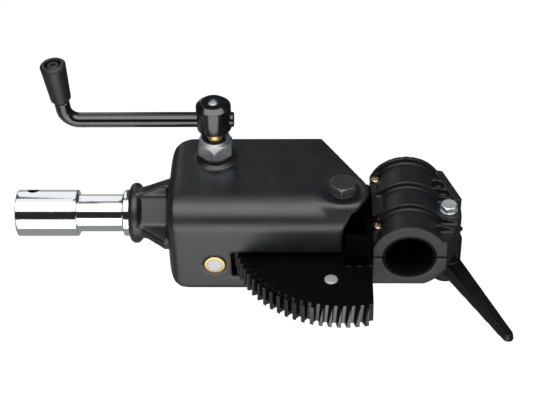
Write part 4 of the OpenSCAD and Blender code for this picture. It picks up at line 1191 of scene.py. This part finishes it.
@dataclass
class Crank(Assembly):
    """Crank shaft with its head, the bent rod, and the screw that clamps the rod."""

    at: Point2 = CRANK_AT
    shaft_r: float = 3.5
    shaft_z: float = -5.8
    head_r: float = 10.25
    head_z: float = 53.2
    head_h: float = 18.0
    head_edge: float = 0.5
    crown_r: float = 7.45
    crown_h: float = 2.38
    well: float = 3.4
    rod_r: float = 4.45
    rod_z: float = 58.8
    rod_edge: float = 0.5
    stub_x: float = 113.44
    corner_x: float = 14.89
    bend_r: float = 9.0
    lean: float = 5.2
    leg: float = 13.8
    spindle_r: float = 3.0
    spindle_top: float = 37.1
    tap_r: float = 1.75
    tap_h: float = 9.0
    screw_r: float = 3.0

    def leg_place(self) -> Matrix:
        """Place of the leaning leg, with local Z along it from the rod's corner."""
        return moved(self.corner_x, self.at[1], self.rod_z) @ turned("Y", -self.lean)

    def head(self) -> None:
        """Turns the shaft and its head, and drills the rod's hole across."""
        top, edge, hole = self.head_z + self.head_h, self.head_edge, self.screw_r + 0.02
        outline = [
            (0, self.shaft_z), (self.shaft_r, self.shaft_z), (self.shaft_r, self.head_z),
            (self.head_r - edge, self.head_z), (self.head_r, self.head_z + edge),
            (self.head_r, top - self.crown_h), (self.crown_r, top), (hole, top),
            (hole, top - self.well), (0, top - self.well),
        ]
        across = moved(*self.at, self.rod_z) @ Laid.X.matrix()
        outline = rounded(outline, [0.3, 0.2, 0.3, 0.3, 0.5, 0.6, 0.25, 0.1])
        shape = self.mill().lathe(outline, moved(*self.at, 0), 96)
        shape.carve(self.mill().lathe(plug(self.rod_r, -14, 14), across, 48))
        shape.publish("crank_head", CRANK_BLACK, Body.CRANK, "crank_shaft")

    def bar(self) -> None:
        """Bends the rod and turns the spindle that the grip runs on."""
        run = self.bend_r * math.tan(math.radians(90 - self.lean) / 2)
        path = [
            Stretch(length=self.stub_x - self.corner_x - run - self.rod_edge),
            Stretch(turn=90 - self.lean, radius=self.bend_r),
            Stretch(length=self.leg - 0.3 - run - self.rod_edge),
        ]
        start = moved(self.stub_x, self.at[1], self.rod_z) @ turned("Y", -90)
        root, top, floor = self.leg - 2, self.spindle_top, self.spindle_top - self.tap_h
        pin = [(0, root), (self.spindle_r, root), (self.spindle_r, top), (self.tap_r, top),
               (self.tap_r, floor), (0, floor)]
        rod = self.mill().rod(self.rod_r, path, start)
        rod.lathe(rounded(pin, 0.2), self.leg_place(), 40)
        rod.publish("crank_bar", CRANK_BLACK, Body.CRANK, "crank_rod")

    def build(self) -> None:
        """Makes the head, the rod and the clamping screw."""
        self.head()
        self.bar()
        r, low, z = self.screw_r, self.rod_z + self.rod_r, self.head_z + self.head_h - 0.4
        screw = [(0, low), (r, low), (r, z - 0.3), (r - 0.9, z), (1.9, z), (1.75, z - 2.4),
                 (0, z - 2.6)]
        self.turn("rod_clamp_screw", ZINC, Body.CRANK, "rod_set_screw", screw,
                       [0.2, 0.3, 0.3, 0.1, 0.1], moved(*self.at, 0), 48)
        self.dress(MACHINED, "crank_bevel", "crank_bevel_pin")


@dataclass
class Grip(Assembly):
    """Turning grip on the crank's leg, with its end screw."""

    crank: Crank
    inner_r: float = 3.05
    low_r: float = 6.0
    high_r: float = 7.5
    length: float = 26.0
    well_r: float = 4.8
    well: float = 3.0
    rim: float = 1.7
    groove: float = 0.28
    screw_head_r: float = 4.2

    def build(self) -> None:
        """Makes the grip with its rim line and the screw in its top."""
        n, inner, outer = self.length, self.inner_r, self.high_r
        leg, seat, shank = self.crank.leg_place(), self.crank.spindle_top, self.crank.tap_r
        line, near, floor = n - self.rim, outer - 0.08, n - self.well
        sleeve = [
            (inner, 0), (self.low_r - 1.5, 0), (self.low_r, 1.9), (near, line - 0.35),
            (near - self.groove, line), (outer, line + 0.3), (outer, n - 0.9),
            (outer - 0.9, n), (self.well_r, n), (self.well_r, floor), (inner, floor),
            (inner, 0),
        ]
        self.turn("grip_sleeve", GRIP_BLACK, Body.GRIP, "grip", sleeve,
                       [0.3, 0.9, 0.15, 0.1, 0.15, 0.5, 0.5, 0.3, 0.2, 0.1],
                       leg @ moved(0, 0, self.crank.leg), 80)
        screw = [
            (0, seat - 8), (shank, seat - 8), (shank, seat), (self.screw_head_r, seat),
            (self.screw_head_r, seat + 0.9), (3.2, seat + 2), (1.7, seat + 2),
            (1.45, seat + 0.7), (0, seat + 0.6),
        ]
        self.turn("grip_end_screw", BLACK_STEEL, Body.CRANK, "grip_screw", screw,
                       [0.2, 0.1, 0.1, 0.3, 0.5, 0.2, 0.1], leg, 48)


@dataclass
class Pivot(Assembly):
    """Pivot bolt with its washers, nut and thrust washers."""

    at: Point2 = PIVOT_AT
    flats: float = 14.4
    head_top: float = 36.0
    head_turn: float = 23.0
    head_slope: float = 34.0
    washer_r: float = 8.9
    top_washer: Point2 = (29.4, 31.4)
    low_washer: Point2 = (-32.2, -30.2)
    nut_low: float = -40.6
    bolt_low: float = -42.0
    bolt_r: float = 5.0

    def build(self) -> None:
        """Makes the stack from the bolt's head down to its end."""
        at, half, r = moved(*self.at, 0), self.flats / 2, self.bolt_r
        seat, place = self.top_washer[1], at @ turned("Z", self.head_turn)
        for name, span, node in (
            ("pivot_top_washer", self.top_washer, "pivot_washer"),
            ("pivot_low_washer", self.low_washer, "pivot_nut_washer"),
        ):
            ring = band(r + 0.1, self.washer_r, *span)
            self.turn(name, WASHER_BLACK, Body.HEAD, node, ring, [0.4, 0.5, 0.2], at)
        bolt = self.mill().hexagon(
            self.flats, seat, self.head_top, half + 0.5, half - 0.2, place, self.head_slope
        )
        bolt.lathe(rounded(plug(r, self.bolt_low, seat + 0.1), [0.8, 0.1]), at, 48)
        bolt.publish("pivot_hex_bolt", PIVOT_STEEL, Body.HEAD, "pivot_bolt", sharp=26)
        nut = self.mill().hexagon(
            self.flats, self.nut_low, self.low_washer[0], half - 0.25, half - 0.25, place
        )
        nut.publish("pivot_hex_nut", BLACK_STEEL, Body.HEAD, "pivot_nut", sharp=26)
        self.dress(WASHER_BLACK, "thrust_washer_top", "thrust_washer_bottom")


@dataclass
class WormDrive(Assembly):
    """Worm shaft with its bushes, mitre gear, collar and pins."""

    x: float = CRANK_AT[0]
    z: float = -10.3
    bush_r: float = 6.25
    bush_span: Point2 = (-35.7, -28.1)
    pin_r: float = 4.45

    def build(self) -> None:
        """Makes the front bush that shows and dresses the rest."""
        ring, place = band(self.pin_r, self.bush_r, *self.bush_span), moved(self.x, 0, self.z)
        self.turn("worm_bush_turned", BRASS, Body.HEAD, "worm_bush_front", ring,
                       [0.5, 0.3, 0.2], place @ Laid.Y.matrix(), 64)
        self.dress(BRASS, "worm_bush_rear")
        self.dress(WORM_STEEL, "worm_shaft")
        self.dress(MACHINED, "worm_bevel", "worm_bevel_pin", "worm_collar",
                        "worm_collar_pin")


@dataclass
class TiltArm(Assembly):
    """Toothed sector, its rivet, the bracket over it and the pivot's bushes."""

    rivet_at: Point3 = (169.9, -55.3, -3.6)
    rivet_r: float = 3.95
    rivet_shank: Point2 = (2.0, 13.4)
    tip_r: float = 65.6
    tip_reach: float = 0.8
    tooth_step: float = 4.615
    first_blunt: int = 10
    blunt_half: float = 1.15
    tip_round: float = 0.6
    cut_at: Point3 = (190.0, 0.0, 19.0)
    cut_away: Point3 = (0.0, 15.0, 22.0)
    grid: float = 0.7
    beads: tuple[Point3, ...] = ((180.6, -44.0, -3.4), (187.0, -44.0, -3.4), (192.2, -43.2, -3.4))
    bead_size: Point3 = (1.5, 0.8, 0.8)
    bead_step: float = 1.1
    bead_lean: float = 18.0

    def blunt(self, sector: Mill) -> None:
        """Widens the tips of the teeth that never reach the worm, and rounds them.

        Args:
            sector: The sector, whose tips are moved along its rim.
        """
        tips: set[bmesh.types.BMVert] = set()
        for v in sector.bm.verts:
            out = Vector((v.co.x - PIVOT_AT[0], v.co.y - PIVOT_AT[1]))
            turn = math.degrees(math.atan2(out.y, out.x)) % 360 - 180
            number = round(turn / self.tooth_step)
            if out.length < self.tip_r - self.tip_reach or number < self.first_blunt:
                continue
            off = turn - number * self.tooth_step
            new = math.radians(180 + number * self.tooth_step)
            new += math.copysign(self.blunt_half / out.length, off)
            v.co.x = PIVOT_AT[0] + out.length * math.cos(new)
            v.co.y = PIVOT_AT[1] + out.length * math.sin(new)
            tips.add(v)
        ridges = [
            e for e in sector.bm.edges
            if abs(e.verts[0].co.z - e.verts[1].co.z) > 5 and tips.issuperset(e.verts)
        ]
        sector.bevel(ridges, self.tip_round, 2)

    def build(self) -> None:
        """Makes the sector, the rivet and the bracket with its weld beads."""
        sector = self.mill().copy_of("sector_gear").flatten()
        self.blunt(sector)
        sector.soften(0.3, 40)
        sector.publish("toothed_sector", GEAR_BLACK, Body.TILT, "sector_gear", sharp=24)
        (x, y, z), r, (shank, depth) = self.rivet_at, self.rivet_r, self.rivet_shank
        head = [(0, z - depth), (shank, z - depth), (shank, z), (r, z), (r, z + 0.5),
                (r - 0.5, z + 1.0), (0, z + 1.15)]
        self.turn("sector_round_rivet", RIVET, Body.TILT, "sector_rivet", head,
                       [0.2, 0.1, 0.1, 0.3, 0.5], moved(x, y, 0), 48)
        bracket = self.mill().copy_of("tilt_bracket").trim(self.cut_at, self.cut_away)
        bracket.recast(self.grid).calm(2)
        # The bracket takes the copy of the gear paint that is darkened as painted shade.
        bracket.publish("tilt_plate", BRACKET_SHADED_BLACK, Body.TILT, "tilt_bracket", sharp=80)
        weld, shape = self.mill(), Matrix.Diagonal((*self.bead_size, 1.0))
        for x, y, z in self.beads:
            for step in (-1, 0, 1):
                place = moved(x + self.bead_step * step, y, z) @ turned("Y", self.bead_lean)
                bmesh.ops.create_icosphere(
                    weld.bm, subdivisions=3, radius=1.0, matrix=place @ shape
                )
        weld.publish("weld_beads", GEAR_BLACK, Body.TILT)
        self.dress(BRASS, "pivot_bush_top", "pivot_bush_bottom")


@dataclass
class TubeClamp(Assembly):
    """Split tube clamp with its liner, hinge-side screws and clamp bolt."""

    grid: float = 0.55
    rounds: int = 2
    screws: tuple[Point3, ...] = ((197.1, 19.8, 8.0), (197.1, -23.3, 8.0))
    screw_r: float = 3.0
    screw_shank: Point2 = (1.75, 21.0)
    cross: Point3 = (3.6, 0.85, 3.0)
    cross_turns: Point2 = (20.0, 110.0)
    edge_from: Point2 = (238.0, 25.6)
    edge_run: Point2 = (10.0, -27.0)
    edge_z: float = 4.4
    edge_size: Point2 = (5.0, 7.4)
    bolt_at: Point2 = CLAMP_BOLT_AT
    bolt_flats: float = 9.0
    bolt_r: float = 3.0
    bolt_low: float = -22.1
    head_h: float = 3.6
    head_slope: float = 40.0
    washer_z: float = 9.2
    washer_t: float = 1.2

    def screw(self, into: Mill, spot: Point3) -> None:
        """Adds one round-headed screw with a cross in it.

        Args:
            into: The piece that it is added to.
            spot: Where its head is seated.
        """
        (x, y, z), r, (shank, depth) = spot, self.screw_r, self.screw_shank
        outline = [(0, z - depth), (shank, z - depth), (shank, z), (r, z), (r, z + 0.9),
                   (r - 0.7, z + 2.0), (0, z + 2.4)]
        one, tool = self.mill(), self.mill()
        one.lathe(rounded(outline, [0.3, 0.05, 0.05, 0.5, 0.9]), moved(x, y, 0), 48)
        for turn in self.cross_turns:
            tool.bar(self.cross, moved(x, y, z + 1.1) @ turned("Z", turn))
        thing = mesh_object("screw", one.carve(tool.recast(0.12)).bm)
        into.bm.from_mesh(thing.data)
        scrap(thing)
        one.bm.free()

    def build(self) -> None:
        """Makes the two halves, the screws, the bolt and its washer."""
        for node, name in (("clamp_upper", "clamp_cap"), ("clamp_lower", "clamp_seat")):
            half = self.mill().copy_of(node)
            if node == "clamp_upper":
                run, (dx, dy) = math.hypot(*self.edge_run), self.edge_run
                along = turned("Z", math.degrees(math.atan2(dy, dx)))
                width, height = self.edge_size
                place = moved(*self.edge_from, self.edge_z) @ along
                half.bar((run, width, height), place @ moved(run / 2, -width / 2, 0))
            half.recast(self.grid).calm(self.rounds)
            half.publish(name, CLAMP_BLACK, Body.TILT, node, sharp=80)
        pair = self.mill()
        for spot in self.screws:
            self.screw(pair, spot)
        pair.publish("cross_screws", YELLOW_ZINC, Body.TILT, "clamp_screws")
        at, z = moved(*self.bolt_at, 0), self.washer_z + self.washer_t
        half, r = self.bolt_flats / 2, self.bolt_r
        washer = band(r + 0.1, half + 0.9, self.washer_z, z)
        self.turn("clamp_bolt_flat_washer", ZINC, Body.TILT, "clamp_bolt_washer",
                       washer, [0.2, 0.4, 0.2], at, 64)
        bolt = self.mill().hexagon(
            self.bolt_flats, z, z + self.head_h, half + 0.3, half - 0.3,
            at @ turned("Z", 8), self.head_slope,
        )
        bolt.lathe(rounded(plug(r, self.bolt_low, z + 0.2), [0.5, 0.1]), at, 40)
        bolt.publish("clamp_hex_bolt", BOLT_ZINC, Body.TILT, "clamp_bolt", sharp=26)
        self.dress(RUBBER, "clamp_liner_upper", "clamp_liner_lower")
        self.dress(BLACK_STEEL, "clamp_mount_screws")


@dataclass
class Lever(Assembly):
    """Clamping lever with its hub, hexagon insert and washer."""

    grid: float = 0.5
    at: Point2 = CLAMP_BOLT_AT
    hub_r: float = 9.2
    hub_low: float = -41.6
    hub_top: float = -11.1
    bore_r: float = 4.9
    bore_h: float = 8.0
    arm_turn: float = -65.5
    # Middle and half widths of the level ellipses that the arm is wrapped round.
    arm: tuple[tuple[Point3, Point2], ...] = (
        ((2.0, 1.2, -25.5), (4.9, 4.9)), ((2.0, 1.2, -34.5), (6.9, 6.9)),
        ((72.5, 1.6, -27.5), (2.7, 2.7)), ((72.5, 1.6, -31.8), (3.4, 3.4)),
    )

    def build(self) -> None:
        """Makes the hub and its flat tapered arm with soft moulded edges."""
        r, low, top, bore = self.hub_r, self.hub_low, self.hub_top, self.bore_r
        hub = [
            (0, low), (r - 2.4, low), (r - 0.7, low + 1), (r, low + 3), (r, top - 1.2),
            (r - 1.2, top), (bore, top), (bore, top - self.bore_h), (0, top - self.bore_h),
        ]
        lever = self.mill().lathe(hub, Matrix.Identity(4), 96)
        lever.hull(self.arm, turned("Z", self.arm_turn)).recast(self.grid).calm(2)
        bmesh.ops.translate(lever.bm, verts=lever.bm.verts, vec=(*self.at, 0))
        lever.publish("clamp_lever", LEVER_BLACK, Body.LEVER, "lever", sharp=80)
        self.dress(MACHINED, "lever_insert", "lever_washer")


# ---- studio ----


@dataclass
class Studio:
    """Camera, pale floor, soft lamps and the cards that shiny metal mirrors."""

    eye: Point3 = (162.7634, -668.8399, 569.2007)
    eye_turns: Point3 = (50.11685, 1.34304, 1.53796)
    lens_mm: float = 98.65351
    sensor_mm: float = 36.0
    floor_z: float = -460.0
    floor_at: float = 0.15
    floor_half: float = 12.0
    floor_glow: float = 0.7
    world_level: float = 0.3

    def camera(self) -> None:
        """Sets the camera."""
        lens = bpy.data.cameras.new("camera")
        lens.lens, lens.sensor_width, lens.clip_start = self.lens_mm, self.sensor_mm, 0.01
        place = Euler([math.radians(turn) for turn in self.eye_turns]).to_matrix().to_4x4()
        place.translation = Vector(self.eye) * MM
        camera = linked("camera", lens)
        camera.matrix_world = place
        bpy.context.scene.camera = camera

    @staticmethod
    def seen_share(wires: Wires, level: float, low: float = 0.0) -> Socket:
        """Brightness that camera, glossy and transmission rays see.

        Args:
            wires: The wires of the tree that uses it.
            level: How much those rays see above what other rays get.
            low: What every ray gets.

        Returns:
            The brightness's socket.
        """
        path = wires.node("LightPath", {}).outputs
        first = wires.math("ADD", path["Is Camera Ray"], path["Is Glossy Ray"], True)
        seen = wires.math("ADD", first, path["Is Transmission Ray"], True)
        extra = wires.math("MULTIPLY", seen, level)
        return wires.math("ADD", extra, low) if low else extra

    def world(self) -> None:
        """Sets a plain white world that lights the object softly."""
        world = bpy.data.worlds.new("studio")
        bpy.context.scene.world = world
        world.use_nodes = True
        wires, sky = Wires(world.node_tree), world.node_tree.nodes["Background"].inputs
        sky["Color"].default_value = (1, 1, 1, 1)
        level = self.world_level
        wires.feed(sky["Strength"], self.seen_share(wires, 1.0 - level, level))

    @staticmethod
    def sheet(
        name: str, size: Point2, place: Matrix, color: Point3, glow: Point3, cells: int = 1,
    ) -> tuple:
        """Makes a flat stage piece that shines by itself.

        Args:
            name: Its name and its material's.
            size: Its width and height in metres.
            place: Where it goes.
            color, glow: Its own colour and the one that it sends out.
            cells: How many cells it has along each side.

        Returns:
            The piece and its material.
        """
        bm = bmesh.new()
        bmesh.ops.create_grid(bm, x_segments=cells, y_segments=cells, size=0.5)
        bmesh.ops.scale(bm, verts=bm.verts, vec=(*size, 1))
        bmesh.ops.transform(bm, matrix=place, verts=bm.verts)
        thing = mesh_object(name, bm)
        bm.free()
        mat = bpy.data.materials.new(name)
        mat.use_nodes = True
        shader = mat.node_tree.nodes["Principled BSDF"].inputs
        shader["Base Color"].default_value = (*color, 1)
        shader["Specular IOR Level"].default_value = 0.0
        shader["Emission Color"].default_value = (*glow, 1)
        shader["Emission Strength"].default_value = 1.0
        thing.data.materials.append(mat)
        return thing, mat

    def floor(self) -> None:
        """Lays a wide white floor that keeps a soft shadow."""
        size, place = (2 * self.floor_half,) * 2, moved(self.floor_at, 0, self.floor_z * MM)
        _, mat = self.sheet("floor", size, place, (0.82,) * 3, (1,) * 3, cells=8)
        mat.name = "floor_white"
        wires, shader = Wires(mat.node_tree), mat.node_tree.nodes["Principled BSDF"].inputs
        shader["Roughness"].default_value = 0.9
        wires.feed(shader["Emission Strength"], self.seen_share(wires, self.floor_glow))

    def lamp(self, name: str, spot: Point3, aim: Point3, size: Point2, power: float) -> None:
        """Hangs one soft lamp.

        Args:
            name: Its name.
            spot, aim: Where it hangs and what it points at, in millimetres.
            size: Its width and height in millimetres.
            power: Its power in watts.
        """
        light = bpy.data.lights.new(name, "AREA")
        light.shape, light.energy = "RECTANGLE", power
        light.size, light.size_y = size[0] * MM, size[1] * MM
        linked(name, light).matrix_world = facing(spot, aim)

    def card(self, name: str, spot: Point3, aim: Point3, size: Point2, shade: float) -> None:
        """Hangs a studio card that only reflections see.

        Args:
            name, spot, aim, size: As for a lamp.
            shade: How bright it looks.
        """
        metres = (size[0] * MM, size[1] * MM)
        flag, _ = self.sheet(name, metres, facing(spot, aim), (0,) * 3, (shade,) * 3)
        for ray in ("camera", "shadow", "diffuse", "transmission"):
            setattr(flag, f"visible_{ray}", False)

    def build(self) -> None:
        """Sets up the whole studio."""
        self.camera()
        self.world()
        self.floor()
        low, far = self.floor_z, 900
        for lamp in (
            ("top_softbox", (140, -262, 620), (140, -262, 0), (1100, 576), 4.9),
            ("front_softbox", (110, -422, -142), (130, 0, 0), (490, 385), 1.35),
        ):
            self.lamp(*lamp)
        for card in (
            ("camera_card", (140, -446, 227), (140, 0, 0), (1400, 384), 0.02),
            ("back_card", (735, 620, 450), (735, 0, 450), (1530, 1820), 0.06),
            ("left_card", (-700, -50, 250), (0, -50, 250), (1100, 1300), 0.06),
            ("right_card", (900, 0, 300), (0, 0, 300), (1300, 1400), 0.08),
            ("back_left_card", (-765, 620, 450), (-765, 0, 450), (1070, 1820), 0.06),
            ("low_back_card", (-130, 640, -150), (-130, 0, -150), (210, 560), 0.42),
            ("back_table_card", (800, 600, low + 14), (800, 600, far), (1100, 1100), 0.05),
            ("table_card", (140, 0, low + 10), (140, 0, far), (2200, 2200), 0.3),
        ):
            self.card(*card)


def main() -> None:
    """Builds every sub-assembly."""
    logging.basicConfig(level=logging.INFO, format="%(name)s %(message)s")
    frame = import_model()
    bpy.context.scene.view_settings.view_transform = "Standard"
    shop = Workshop(frame)
    Studio().build()
    Housing(shop).build()
    Spigot(shop).build()
    CrankBearing(shop).build()
    crank = Crank(shop)
    crank.build()
    Grip(shop, crank).build()
    Pivot(shop).build()
    WormDrive(shop).build()
    TiltArm(shop).build()
    TubeClamp(shop).build()
    Lever(shop).build()


if __name__ == "__main__":
    main()
